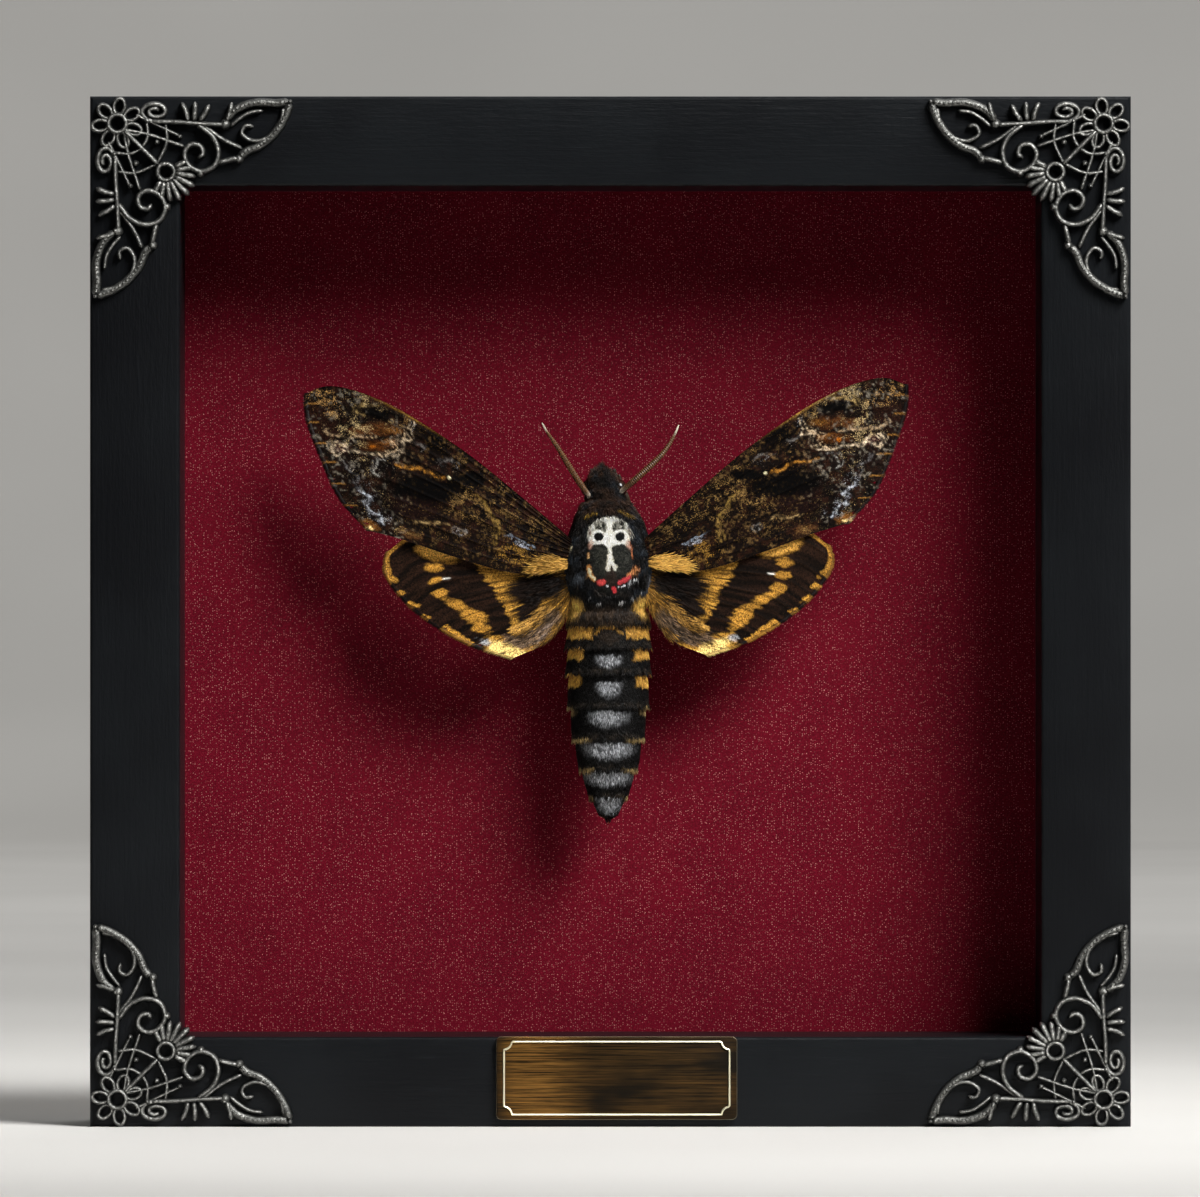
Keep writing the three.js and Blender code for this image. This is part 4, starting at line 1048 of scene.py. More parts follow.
# Silver spots down the middle: place along it, half width and half height
SILVER_SPOTS = [
    (30.6, 2.2, 1.1), (25.3, 2.1, 1.4), (19.6, 3.3, 1.5), (13.4, 4.2, 1.5), (7.8, 3.8, 1.2), (2.7, 2.0, 1.4)]
WAIST_ARCH = [(-2.4, 36.0), (-1.4, 36.9), (0, 37.1), (1.5, 36.9), (2.6, 36.0)]


def lay_bands(ground, colour, strength, s, inner, bands, fade, reach):
    """Bands across the flanks, which fade at their lower end and towards the midline."""
    for middle, half, start in bands:
        low, high = middle - half, middle + half
        inside = ramp(s, low, low + 0.3) * (1 - ramp(s, high - fade, high))
        ground = lay(ground, colour, strength * inside * ramp(inner, start, start + reach))
    return ground


def abdomen_colour(x, s, angle, points):
    """Black rings, yellow bands on the flanks and silver hair down the middle."""
    cells = np.column_stack([angle / 6, s])
    facing = np.cos(np.radians(angle))
    colour = plain("#0d0b0a", len(s))
    s = shaken(s, 0.7, cells, 0.9, 21)
    inner = shaken(np.abs(x - BODY_X), 0.9, cells, 0.8, 22)
    colour = lay_bands(colour, "#d8a24a", 1, s, inner, YELLOW_BANDS, 0.3, 0.6)
    colour = lay(colour, "#9a7330", stroke(x - BODY_X, s, WAIST_ARCH, 0.6))
    colour = lay(colour, "#2e241b", spot(x - BODY_X, s, (0.2, 35.2), (2.1, 1.2), soft=0.3))
    colour = lay_bands(colour, "#a98f5e", 0.85, s, inner, PALE_BANDS, 0.2, 1.6)
    for middle, wide, tall in SILVER_SPOTS:
        hair = spot(x, s, (-0.3, middle + 0.35 * tall), (wide, 1.35 * tall), soft=0.45)
        hair = hair * (1 - ramp(s, middle + 0.8 * tall, middle + tall))
        lone = ramp(noise(points, 0.17, 31), 0.62 - 0.5 * np.max(hair), 0.7)
        hair = hair * np.maximum(lone, 0.25 * hair)
        colour = lay(colour, "#cdcfd3", 0.88 * np.clip(hair, 0, 1) * (facing > 0))
    worn = ramp(noise(points, 0.6, 34), 0.2, 0.8)
    for place in SEGMENT_EDGES:
        colour = lay(colour, "#463c31", 0.5 * bump(s, place + 0.5, 0.45) * worn)
    colour = lay(colour, "#5a4632", ramp(s, 37.2, 38.4) * ramp(noise(cells, 1.1, 33), 0.2, 0.8))
    return lay(colour, "#8a6427", ramp(-facing, 0.15, 0.6) * 0.7 * (0.4 + 0.6 * (facing < 0.72)))


# Pale marks of the thorax: middle, radii, turn, softness, colour, strength and the facing they start at
THORAX_MARKS = [
    ((8.0, 45.9), (0.9, 2.0), -12, 0.5, "#76777c", 0.8, -0.1),
    ((-6.1, 46.6), (1.3, 0.9), 20, 0.5, "#4f545b", 0.7, 0),
    ((-7.5, 52.6), (0.3, 0.4), 0, 0.4, "#d8c8a0", 1, 0),
]
# White specks behind the skull: across, along and size
THORAX_SPECKS = [(-2.1, 41.7, 0.3), (2.1, 41.8, 0.4), (4.1, 42.6, 0.3), (5.6, 43.6, 0.2), (-4.0, 42.6, 0.2)]
COLLAR = [[(-4.2, 58.2), (-2.9, 58.7), (-2.2, 58.9)], [(2.0, 59.3), (3.2, 58.7), (4.6, 58.0)]]


def body_colour(s, angle):
    """The markings of skin and coat at a place on the body, with a painted sheen on the shoulders."""
    points = skin_point(s, angle)
    x = points[:, 0]
    middle_x = x - BODY_X
    facing = np.cos(np.radians(angle))
    side = side_of(angle)

    def patchy(size, seed, low, high):
        return ramp(noise(points, size, seed), low, high)

    ground = plain("#100e0d", len(s))
    # A painted bluish sheen on the hair of the shoulders
    ground = lay(ground, "#39424b", 0.5 * (patchy(1.3, 41, 0.35, 0.8) * bump(side, 52, 26)) * (s > 41))
    ground = lay(ground, "#302a24", 0.7 * patchy(0.5, 45, 0.5, 0.9) * (s > 43))
    ground = lay(ground, "#54473a", 0.7 * bump(side, 84, 12) * bump(s, 52, 6) * patchy(0.7, 42, 0.2, 0.7))
    for middle, radii, turn, soft, colour, strength, least in THORAX_MARKS:
        mark = spot(x, s, middle, radii, turn, soft)
        ground = lay(ground, colour, strength * mark * (facing > least))
    ground = lay(ground, "#3f2c20", ramp(s, 56.5, 60.5) * patchy(0.9, 43, 0.15, 0.9))
    ground = lay(ground, "#4d3d2f", 0.8 * bump(s, 39.3, 1.5) * patchy(0.7, 44, 0.1, 0.8))
    collar = sum(stroke(middle_x, s, line, 0.5) for line in COLLAR)
    ground = lay(ground, "#a3802f", 0.6 * np.clip(collar, 0, 1) * (facing > 0))
    ground = lay(ground, "#2f2216", ramp(-facing, -0.1, 0.5))
    rear = spot(np.abs(middle_x), s, (7.2, 41.0), (2.2, 1.9), soft=0.35)
    ground = lay(ground, "#f2bd5e", rear * (facing > -0.4))
    skull = skull_colour(x, s, ground)
    ground = np.where(((facing > 0.3) & (s > 43))[:, None], skull, ground)
    for speck_x, speck_s, size in THORAX_SPECKS:
        white = spot(x, s, (speck_x, speck_s), (size * 1.3, size * 0.7), 20, soft=0.4)
        ground = lay(ground, "#b9b6b4", white * (facing > 0))
    part = (s < shaken(WAIST, 0.8, points, 0.8, 49))[:, None]
    return np.where(part, abdomen_colour(x, s, angle, points), ground)


def inset_map(across, up):
    """Places on a coat's OFBake map, a little in from its edges, from shares of 0 to 1."""
    return np.column_stack([0.01 + 0.98 * across, 0.01 + 0.98 * up])


def make_skin(material):
    """One closed skin for abdomen, thorax and head."""
    rings, around = ((300, 150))
    s = np.repeat(np.linspace(0.02, BODY_LENGTH - 0.02, rings), around)
    angle = np.tile(np.arange(around) * 360 / around, rings)
    points = skin_point(s, angle)
    faces = grid_faces(rings, around, wrap=True)[:, ::-1].tolist()
    faces += cap_faces(around, rings, len(points), len(points) + 1)
    ends = [
        [BODY_X, BODY_Y, BODY_TIP_Z], [BODY_X + HEAD_SHIFT[-1][1], BODY_Y, BODY_TIP_Z + BODY_LENGTH]]
    # The skin carries the coat's markings, darkened as painted shade under the tufts
    colours = body_colour(s, angle) * 0.6
    colours = np.vstack([colours, colours[0], colours[-1]])
    make_piece("moth_skin", np.vstack([points, ends]), faces, material, "moth_fur",
               ["moth_thorax", "moth_head", "moth_abdomen"], colours={"tint": colours})


# Coat

# A tuft: its ten faces, how bright each of its seven points is, and its patch on the map
TUFT_FACES = np.array([
    (0, 2, 1), (0, 1, 4), (0, 4, 3), (1, 2, 5), (1, 5, 4), (2, 0, 3), (2, 3, 5), (3, 4, 6), (4, 5, 6),
    (5, 3, 6),
])
# Painted shade at a tuft's root and a painted highlight at its tip
TUFT_PAINTED_LIGHT = np.array([0.4, 0.4, 0.5, 0.9, 0.9, 1.0, 1.5])
TUFT_MAP = np.array([(0, 0), (1, 0), (0.5, 0.2), (0, 0.5), (1, 0.5), (0.5, 0.6), (0.5, 1)])
TUFT_MAP_SIZE = 0.003


def make_coat(name, roots, normals, lie, length, width, lift, colours, uv, material, sink=0.12):
    """Tufts as thin three-sided locks that bend from their lift down along their lie."""
    count = len(roots)
    lie = lie - normals * (lie * normals).sum(axis=1)[:, None]
    lie /= np.linalg.norm(lie, axis=1)[:, None]
    side = np.cross(normals, lie)
    twist = (random.random(count) - 0.5) * 0.7
    lie = lie * np.cos(twist)[:, None] + side * np.sin(twist)[:, None]
    side = np.cross(normals, lie)
    length = (length * (0.7 + 0.6 * random.random(count)))[:, None]
    width = (width * (0.75 + 0.5 * random.random(count)))[:, None]
    lift = np.radians(lift * (0.6 + 0.8 * random.random(count)))[:, None]
    middle = roots + 0.5 * length * (lie * np.cos(lift) + normals * np.sin(lift))
    tip = middle + 0.5 * length * (lie * np.cos(lift * 0.35) + normals * np.sin(lift * 0.35))
    base = roots - normals * sink
    up = normals * 0.45
    points = np.stack([
        base - side * width / 2, base + side * width / 2, base + up * width,
        middle - side * width * 0.42, middle + side * width * 0.42, middle + up * width * 0.8,
        tip,
    ], axis=1).reshape(-1, 3)
    faces = (TUFT_FACES[None] + 7 * np.arange(count)[:, None, None]).reshape(-1, 3)
    shade = (0.45 + 1.1 * random.random(count))[:, None, None]
    # Each tuft's colour in a random tone, with the painted shade and highlight along it
    tint = np.clip(colours[:, None, :] * shade * TUFT_PAINTED_LIGHT[None, :, None], 0, 1).reshape(-1, 3)
    piece = make_piece(name, points, faces, material, "moth_fur", colours={"tint": tint})
    spread = (uv[:, None, :] + TUFT_MAP_SIZE * TUFT_MAP[None] - TUFT_MAP_SIZE / 2).reshape(-1, 2)
    layer = piece.data.uv_layers.new(name="OFBake")
    loops = np.zeros(len(piece.data.loops), np.int32)
    piece.data.loops.foreach_get("vertex_index", loops)
    layer.data.foreach_set("uv", np.clip(spread[loops], 0, 1).astype(np.float32).ravel())


def scatter_on_skin(low, high, density, start, end):
    """Even random places on the skin between two distances and two angles."""
    arc = 2 * math.pi * 9.5 * (end - start) / 360
    tries = int(density * (high - low) * arc)
    s = random.uniform(low, high, tries)
    angle = random.uniform(start, end, tries)
    half_width, half_depth, _ = body_sizes(s)
    a = np.radians(angle)
    pace = np.hypot(half_width * np.cos(a), half_depth * np.sin(a)) * 2 * math.pi * (end - start) / 360
    keep = random.random(tries) < pace / arc
    return s[keep], angle[keep]


def coat_patch(material, name, low, high, density, look, start=0, end=360, keep=None, ahead=1, gain=1.0):
    """A coat over a stretch of the body; look(s, angle) gives its length, width and lift."""
    s, angle = scatter_on_skin(low, high, density * (1), start, end)
    if keep:
        chosen = keep(s, angle)
        s, angle = s[chosen], angle[chosen]
    normals, lie = skin_frame(s, angle)
    length, width, lift = look(s, angle)
    shown = np.maximum(s - 0.45 * length, 0)
    make_coat(name, skin_point(s, angle), normals, ahead * lie, length, width, lift,
              gain * body_colour(shown, angle), inset_map((angle % 360) / 360, s / BODY_LENGTH), material)


def skull_zone(s, angle):
    """Where the skull patch's short hair grows."""
    x = skin_point(s, angle)[:, 0]
    return (spot(x, s, (SKULL_X, 50.9), (4.6, 7.6), soft=0.02) > 0.5) & (side_of(angle) < 60) & (s > 43.4)


def thorax_look(s, angle):
    """Hair that is longer on the shoulder covers and at the waist, and stands up at the neck."""
    cover = bump(side_of(angle), 55, 22) * bump(s, 50, 9)
    length = 1.15 + 0.9 * cover + 0.8 * ramp(-s, -43, -39.5) + 0.25 * ramp(s, 56, 60)
    return length, 0.15, 14 + 16 * ramp(s, 55, 60) - 4 * cover


def skull_look(s, angle):
    """Short flat hair, the same all over."""
    return 0.5, 0.12, 12.0


def abdomen_look(s, angle):
    """Hair that is longer and stands out more at each segment's edge."""
    edges = np.array([0, *SEGMENT_EDGES])
    index = np.clip(np.searchsorted(edges, s) - 1, 0, len(edges) - 1)
    near = bump(s - edges[index], 0, 0.8)
    return 0.85 + 0.45 * near, 0.15, 11 + 5 * near


def head_look(s, angle):
    """Rough hair that stands up towards the front."""
    crest = ramp(s, 64.5, 67.5)
    return 1.1 + 0.4 * crest, 0.15, 30 + 24 * crest


def crest_look(s, angle):
    """Longer hair that points ahead over the front of the head."""
    return 1.5 + 0.5 * ramp(s, 65, 67), 0.15, 22.0


def beyond_skull(s, angle):
    """Where the thorax isn't covered by the skull patch."""
    return ~skull_zone(s, angle)


# Coats: name, stretch of the body, tufts per square millimetre, look, and what else differs
COATS = [
    ("coat_abdomen_tail", 0.1, 20, 26, abdomen_look, {"start": -95, "end": 95}),
    ("coat_abdomen_top", 20, 38.6, 26, abdomen_look, {"start": -95, "end": 95}),
    ("coat_abdomen_under", 0.1, 38.6, 14, abdomen_look, {"start": 95, "end": 265}),
    ("coat_thorax_rear", 38.4, 51, 30, thorax_look, {"start": -95, "end": 95, "keep": beyond_skull}),
    ("coat_thorax_front", 51, 61.5, 30, thorax_look, {"start": -95, "end": 95, "keep": beyond_skull}),
    ("coat_thorax_under", 38.4, 61.5, 14, thorax_look, {"start": 95, "end": 265}),
    ("coat_skull", 43.2, 58.8, 110, skull_look, {"start": -60, "end": 60, "keep": skull_zone, "gain": 1.4}),
    ("coat_head", 60.8, BODY_LENGTH - 0.1, 46, head_look, {}),
    ("coat_crest", 65.0, BODY_LENGTH - 0.1, 40, crest_look, {"start": -80, "end": 80, "ahead": -1}),
]


def make_body():
    """The skin and its coats."""
    material = fur("moth_fur")
    make_skin(material)
    for *place, more in COATS:
        coat_patch(material, *place, **more)


# Wings

# Forewing patches: middle, radii, turn in degrees, colour and strength
FOREWING_PATCHES = [
    ((34.6, 12.6), (6.6, 2.3), 3, "#020101", 1.0), ((26.5, 14.4), (3.4, 1.0), 3, "#020101", 0.95),
    ((32.6, 21.8), (2.8, 1.9), 35, "#030202", 0.9), ((14.5, 3.6), (3.6, 1.2), 40, "#050303", 0.8),
    ((56.0, 20.0), (1.5, 7.0), 20, "#0f0504", 0.85), ((54.4, 26.2), (2.8, 3.6), 15, "#1a0b07", 0.85),
    ((43.9, 27.5), (2.5, 0.8), 5, "#070403", 0.95), ((37.0, 9.2), (4.5, 2.6), 10, "#120706", 0.8),
    ((50.4, 29.6), (4.6, 1.3), 8, "#0b0705", 0.6), ((24.6, 2.6), (3.0, 2.2), 20, "#0d0605", 0.6),
    ((51.2, 17.2), (1.8, 5.0), 15, "#140a07", 0.6), ((42.9, 24.6), (3.4, 1.1), 4, "#3b200c", 0.9),
    ((41.0, 24.4), (1.5, 0.6), 8, "#5c3a14", 0.6), ((46.8, 24.5), (2.6, 0.8), 0, "#41240f", 0.85),
    ((43.8, 21.4), (2.9, 1.1), 4, "#3d200a", 0.9), ((44.6, 21.2), (0.6, 0.45), 0, "#96510f", 0.8),
    ((41.6, 21.9), (1.4, 0.5), 10, "#5c3814", 0.7), ((50.9, 21.3), (1.5, 0.9), 10, "#2a0f12", 0.9),
    ((45.8, 6.3), (1.8, 0.9), 20, "#6b421c", 0.7), ((45.6, 5.6), (0.5, 0.4), 0, "#d8b878", 0.9),
    ((38.0, 4.2), (2.2, 0.8), 15, "#55361c", 0.5),
]
# Thin pale lines: places, width, colour and strength
FOREWING_LINES = [
    ([(36.7, 25.7), (37.3, 23.5), (37.1, 22.4), (39.4, 22.4), (38.7, 21.0), (39.4, 19.6), (42.6, 19.4),
      (45.8, 19.9), (48.7, 20.3), (50.3, 20.9), (51.9, 19.8), (52.8, 20.5), (53.0, 21.7), (52.0, 22.4)],
     0.36, "#bfa98c", 1.0),
    ([(38.3, 24.3), (38.7, 23.0), (40.5, 22.4), (41.2, 22.1), (40.3, 20.8), (41.5, 19.9), (44.0, 19.8)],
     0.3, "#c4a784", 0.9),
    ([(44.4, 23.0), (46.6, 23.3), (48.7, 23.2), (51.6, 23.4), (53.7, 24.3), (53.3, 25.1)],
     0.45, "#a98d6c", 0.8),
    ([(49.4, 20.3), (50.1, 21.8), (51.9, 21.9), (52.6, 21.0)], 0.4, "#c9b496", 0.95),
    ([(36.0, 26.0), (37.0, 26.9), (38.4, 27.9)], 0.4, "#b88c3e", 0.8),
    ([(42.3, 18.5), (43.7, 18.5), (44.4, 17.4), (44.8, 16.4), (44.0, 15.6)], 0.35, "#a6a29a", 0.7),
    ([(50.5, 18.5), (49.8, 17.1), (48.2, 16.0), (48.0, 14.0), (47.0, 12.6)], 0.4, "#7c7a7a", 0.5),
    ([(47.6, 13.3), (46.9, 12.3), (45.2, 11.0), (46.3, 10.2), (45.3, 8.6), (43.9, 8.0), (43.0, 6.2)],
     0.5, "#bfc3cc", 0.75),
    ([(45.1, 29.3), (47.2, 28.9), (48.0, 28.1), (46.5, 27.4)], 0.5, "#a98c58", 0.7),
    ([(42.0, 28.9), (43.6, 29.1), (45.1, 29.2)], 0.3, "#94794a", 0.6),
    ([(21.8, 1.7), (20.8, 4.9), (22.7, 8.2), (23.6, 10.2), (25.3, 11.3)], 0.7, "#99793c", 0.55),
    ([(14.4, 0.9), (16.6, 2.3), (19.0, 3.2)], 0.35, "#7f8794", 0.75),
    ([(15.3, 0.6), (17.8, 2.0)], 0.3, "#7f8794", 0.6),
    ([(30.6, 5.6), (32.3, 6.4), (34.4, 6.0), (37.0, 6.6)], 0.5, "#a88a5c", 0.6),
    ([(27.2, 4.2), (28.3, 4.8), (29.4, 4.3), (28.4, 3.7), (27.2, 4.2)], 0.35, "#8c8680", 0.55),
    ([(27.6, 17.4), (29.6, 18.2), (31.6, 18.0)], 0.5, "#6f6a66", 0.5),
    ([(34.6, 20.9), (36.4, 21.8)], 0.6, "#6f6a66", 0.45),
]
# Clouds of paler scales: middle, radii, turn, density; grey ones are bluish white
FOREWING_CLOUDS = [
    ((18.6, 0.0), (3.6, 2.6), 10, 0.6), ((22.9, 9.6), (6.8, 4.2), 25, 0.45),
    ((12.9, 4.6), (3.6, 2.2), 40, 0.3), ((25.8, 17.6), (3.6, 1.6), 42, 0.4),
    ((32.0, 4.6), (7.5, 1.6), 14, 0.15), ((38.5, 4.4), (3.2, 1.0), 15, 0.4),
    ((54.2, 30.8), (3.3, 1.9), 38, 0.8), ((45.3, 30.1), (4.5, 1.4), 14, 0.5),
    ((50.8, 27.6), (3.6, 1.1), 15, 0.45), ((48.5, 25.0), (3.5, 1.2), 5, 0.55),
    ((49.3, 22.4), (3.5, 1.5), 5, 0.4), ((39.3, 27.0), (2.5, 1.6), 30, 0.35),
    ((40.2, 25.4), (2.0, 1.1), 0, 0.35), ((46.8, 17.5), (2.4, 1.8), 0, 0.25),
    ((29.0, 9.6), (4.0, 2.6), 20, 0.25), ((44.2, 8.0), (2.6, 1.6), 20, 0.3),
]
FOREWING_GREYS = [
    ((46.6, 12.4), (2.4, 2.0), 20, 0.45), ((45.3, 9.8), (1.4, 2.0), 0, 0.8),
    ((43.2, 7.4), (2.2, 1.6), 30, 0.6), ((42.8, 16.4), (2.6, 1.6), 0, 0.4),
    ((40.5, 13.0), (2.6, 0.8), 0, 0.35), ((30.4, 17.2), (3.0, 1.3), 12, 0.45),
    ((35.6, 21.2), (2.0, 1.5), 30, 0.4), ((16.9, 2.0), (2.9, 0.8), 32, 0.75),
    ((28.3, 4.3), (1.5, 0.9), 0, 0.5), ((37.1, 24.6), (0.8, 1.8), 0, 0.6),
    ((49.6, 17.6), (1.6, 2.0), 0, 0.4), ((47.5, 14.0), (2.0, 1.4), 0, 0.4),
    ((34.6, 8.0), (3.4, 1.0), 8, 0.2),
]
DEEP_BLACKS = [
    ((34.6, 12.6), (6.4, 2.2), 3), ((26.5, 14.6), (3.4, 1.0), 3), ((43.9, 27.5), (2.4, 0.8), 5),
]
OCHRE_STREAKS = [[(31.2, 14.9), (32.9, 15.4), (34.6, 16.2)], [(35.5, 16.6), (38.0, 17.1), (40.2, 17.6)]]
MARGIN_DASHES = [(57.2, 30.0), (56.9, 26.4), (55.6, 22.3), (53.6, 18.6), (52.2, 14.4), (50.0, 10.1)]


def add_spots(amount, x, z, rows):
    """The amount, raised in soft spots: middle, radii, turn and how much of each."""
    for middle, radii, turn, more in rows:
        amount = amount + more * spot(x, z, middle, radii, turn, 0.6)
    return amount


def forewing_colours(x, z, s, t, seed):
    """Ground, and dust with its amount, of a forewing."""
    flat = np.column_stack([x, z])
    wx, wz = (shaken(c, 1.6, flat, 1.6, seed + k, rough_noise) for k, c in ((1, x), (2, z)))
    fine_x, fine_z = (shaken(c, 1.1, flat, 1.1, seed + k, rough_noise) for k, c in ((3, x), (4, z)))
    ground = plain("#0d0705", len(x))
    ground = lay(ground, "#25130b", 0.6 * ramp(rough_noise(flat, 1.2, seed + 5), 0.45, 0.7))
    ground = lay(ground, "#040202", 0.8 * ramp(rough_noise(flat, 2.2, seed + 6), 0.5, 0.75))
    ground = lay_spots(ground, wx, wz, FOREWING_PATCHES, 0.4)
    broken = 0.1 + 0.9 * ramp(noise(flat, 0.45, seed + 7), 0.3, 0.65)
    for line, wide, colour, strength in FOREWING_LINES:
        line = even_line(line, 0.7)
        near = stroke(fine_x, fine_z, line, wide * 0.8, 0.8)
        ground = lay(ground, colour, 0.8 * strength * broken * near)
        # A fainter twin runs beside each line, further from the root
        near = stroke(fine_x - 0.75, fine_z - 0.35, line, wide * 0.6, 0.8)
        ground = lay(ground, colour, 0.4 * strength * broken * near)
    broken = 0.15 + 0.85 * ramp(noise(flat, 0.45, seed + 8), 0.3, 0.65)
    for streak in OCHRE_STREAKS:
        ground = lay(ground, "#8f5f22", stroke(fine_x, fine_z, streak, 0.55, 0.7) * broken)
    ground = lay(ground, "#f3e6b8", spot(x, z, (30.3, 14.8), (0.3, 0.28), soft=0.4))
    for end_x, end_z in MARGIN_DASHES:
        dash = stroke(x, z, [(end_x - 1.7, end_z - 0.1), (end_x + 0.9, end_z)], 0.26, 0.6)
        ground = lay(ground, "#8f642e", 0.6 * dash)
    ground = lay(ground, "#a97a35", 0.6 * bump(t, 0, 0.012) * bump(s, 0.66, 0.1))
    speckled = ramp(noise(flat, 0.45, seed + 10), 0.62, 0.85)
    speckled = speckled * ramp(rough_noise(flat, 2.0, seed + 11), 0.4, 0.6)
    ground = lay(ground, "#6b5230", 0.4 * speckled * (1 - ramp(x, 36, 42)))
    ground = lay(ground, "#82796b", 0.4 * speckled * ramp(x, 36, 42))
    dust = lay(plain("#6e5530", len(x)), "#937e58", ramp(x, 38, 44))
    dust = lay(dust, "#8f6d40", spot(x, z, (54.2, 30.8), (4.5, 3), 38, 0.4))
    dust = lay(dust, "#7d5c26", spot(x, z, (17.5, -0.6), (4.5, 3.2), 10, 0.4))
    amount = add_spots(0.27 - 0.08 * ramp(x, 47, 52), wx, wz, FOREWING_CLOUDS)
    for row in DEEP_BLACKS:
        ground = lay(ground, "#030202", 0.9 * spot(wx, wz, *row, 0.4))
        amount = amount * (1 - 0.95 * spot(wx, wz, *row, 0.3))
    grey = 0.6 * np.clip(add_spots(np.zeros(len(x)), wx, wz, FOREWING_GREYS), 0, 1)
    dust = lay(dust, "#8e8f94", ramp(grey, 0.1, 0.35))
    clumps = ramp(rough_noise(flat, 1.0, seed + 9), 0.38, 0.64)
    return ground, dust, np.clip(np.maximum(amount, grey) * (0.35 + 1.05 * clumps), 0, 1)


# Hindwing: the line where its dark outer part starts, and the dark spots at its base and the yellow
# ones further out as middle, radii and turn
DARK_START = [(25.2, -1.9), (23.6, -5.2), (21.9, -7.7), (20.6, -10.2), (19.6, -13.0), (18.9, -15.4)]
HINDWING_BASE = [((13.8, -6.8), (6.2, 3.0), -8), ((15.4, -10.2), (4.6, 2.2), -50)]
HINDWING_SPOTS = [
    ((32.8, 0.5), (3.9, 1.7), 12), ((34.0, -2.4), (1.6, 0.85), 0), ((33.8, -4.9), (1.3, 0.75), -8),
    ((32.6, -7.5), (1.3, 0.85), -8), ((30.0, -9.5), (2.2, 0.9), 20), ((26.3, -12.1), (2.5, 1.35), 25),
    ((25.2, -14.2), (1.8, 1.0), 20), ((41.5, -4.7), (0.85, 0.6), 20), ((40.1, -7.0), (0.85, 0.5), 20),
    ((37.8, -9.5), (0.9, 0.45), 20), ((35.6, -11.8), (0.6, 0.3), 20),
]
# Bands near its inner edge: places, width, colour and strength
HINDWING_BANDS = [
    ([(27.3, -17.1), (29.6, -15.4), (32.1, -13.8)], 0.9, "#a4752e", 1),
    ([(10.6, -12.6), (13.2, -15.5), (16.2, -17.4), (19.5, -17.3)], 2.4, "#6e5a49", 0.9),
    ([(12.0, -11.2), (15.1, -13.6), (18.7, -15.0)], 1.6, "#ad8240", 1),
]


def hindwing_colours(x, z, s, t, seed):
    """Ground, and dust with its amount, of a hindwing."""
    flat = np.column_stack([x, z])
    polar = np.column_stack([t * 75, s * 7])
    streaks = noise(polar, 1.0, seed + 1) - 0.5
    wx = shaken(x + 1.7 * streaks, 0.9, flat, 1.3, seed + 2, rough_noise)
    wz = shaken(z + 0.6 * streaks, 0.6, flat, 1.3, seed + 3, rough_noise)
    ground = lay(plain("#8c6427", len(x)), "#bb8b3a", ramp(noise(polar, 0.7, seed + 4), 0.4, 0.9))
    ground = lay(ground, "#20130a", 0.75 * ramp(noise(polar, 0.5, seed + 6), 0.5, 0.8) * ramp(s, 0.05, 0.2))
    start = np.interp(-wz, [-down for _, down in DARK_START], [out for out, _ in DARK_START])
    dark = ramp(wx - start, -0.35, 0.35) * (wz > -20)
    dark = dark * (1 - spot(wx, wz, (20.0, -19.0), (5.4, 2.4), 24, 0.12))
    tone = ramp(noise(polar, 1.4, seed + 5), 0.3, 0.8)
    black = lay(plain("#0c0705", len(x)), "#24160f", 0.7 * tone)
    ground = ground + (black - ground) * dark[:, None]
    base = [spot(wx, wz, *row, 0.25) for row in HINDWING_BASE]
    ground = lay(ground, "#120c09", np.maximum(*base))
    yellow = "#a4752e"
    for row in HINDWING_SPOTS:
        ground = lay(ground, yellow, spot(wx, wz, *row, 0.3) * (0.65 + 0.35 * tone))
    edge = (1 - ramp(t, 0.02, 0.04)) * ramp(s, 0.75, 0.85)
    edge = np.maximum(edge, ramp(s, 0.97, 0.985) * (1 - ramp(t, 0.14, 0.18)))
    ground = lay(ground, "#93682a", edge)
    ground = lay(ground, "#cf9a48", spot(wx, wz, (32.8, 0.7), (3.6, 1.4), 12, 0.4))
    ground = lay_lines(ground, wx, wz, HINDWING_BANDS[:2], 0.4)
    pale = spot(wx, wz, (14.5, -15.8), (3.4, 1.3), -35, 0.4)
    ground = lay(ground, "#96857a", 0.6 * ramp(streaks, 0.1, 0.35) * pale)
    ground = lay_lines(ground, wx, wz, HINDWING_BANDS[2:], 0.4)
    ground = lay(ground, "#ecc878", spot(wx, wz, (20.0, -19.0), (3.9, 1.3), 24, 0.3))
    ground = lay(ground, "#8d949c", 0.8 * spot(wx, wz, (24.4, -17.0), (0.9, 0.6), 0, 0.6))
    ground = lay(ground, "#d5cfc6", 0.9 * spot(x, z, (31.5, -4.6), (0.7, 0.17), -4, 0.6))
    for vein in HINDWING["veins"]:
        ground = lay(ground, "#1d120b", 0.6 * bump(t, vein, 0.005) * ramp(s, 0.15, 0.4))
    return ground, plain("#3a2a1c", len(x)), np.full(len(x), 0.2)


def hindwing_hair_zone(x, z):
    """Long hair grows at the root and down the inner edge."""
    root = 1 - ramp(np.hypot(x - 7, z + 5), 6, 11)
    inner = stroke(x, z, [(8.0, -9.5), (12.5, -15.0), (17.5, -18.6)], 5.0, 0.5)
    return np.clip(0.35 * root + 0.8 * inner, 0, 1) * (1 - ramp(-z, 16.2, 18.4))


def forewing_root_zone(x, z):
    """A tuft of long golden hair grows at the forewing's root."""
    return spot(x, z, (11.1, -3.1), (3.3, 1.5), -6, 0.45)


# How the wings bend: back towards the tips, forwards in the middle and at the edges
WING_BEND = {"span": 58, "tip_back": 2.2, "bow": 0.9, "edge_forward": 0.0006}
# Where the outer edge of a left and a right wing is nicked, as shares from the costa
NICKS = {-1: (0.58, 0.79, 0.93), 1: (0.66, 0.9)}


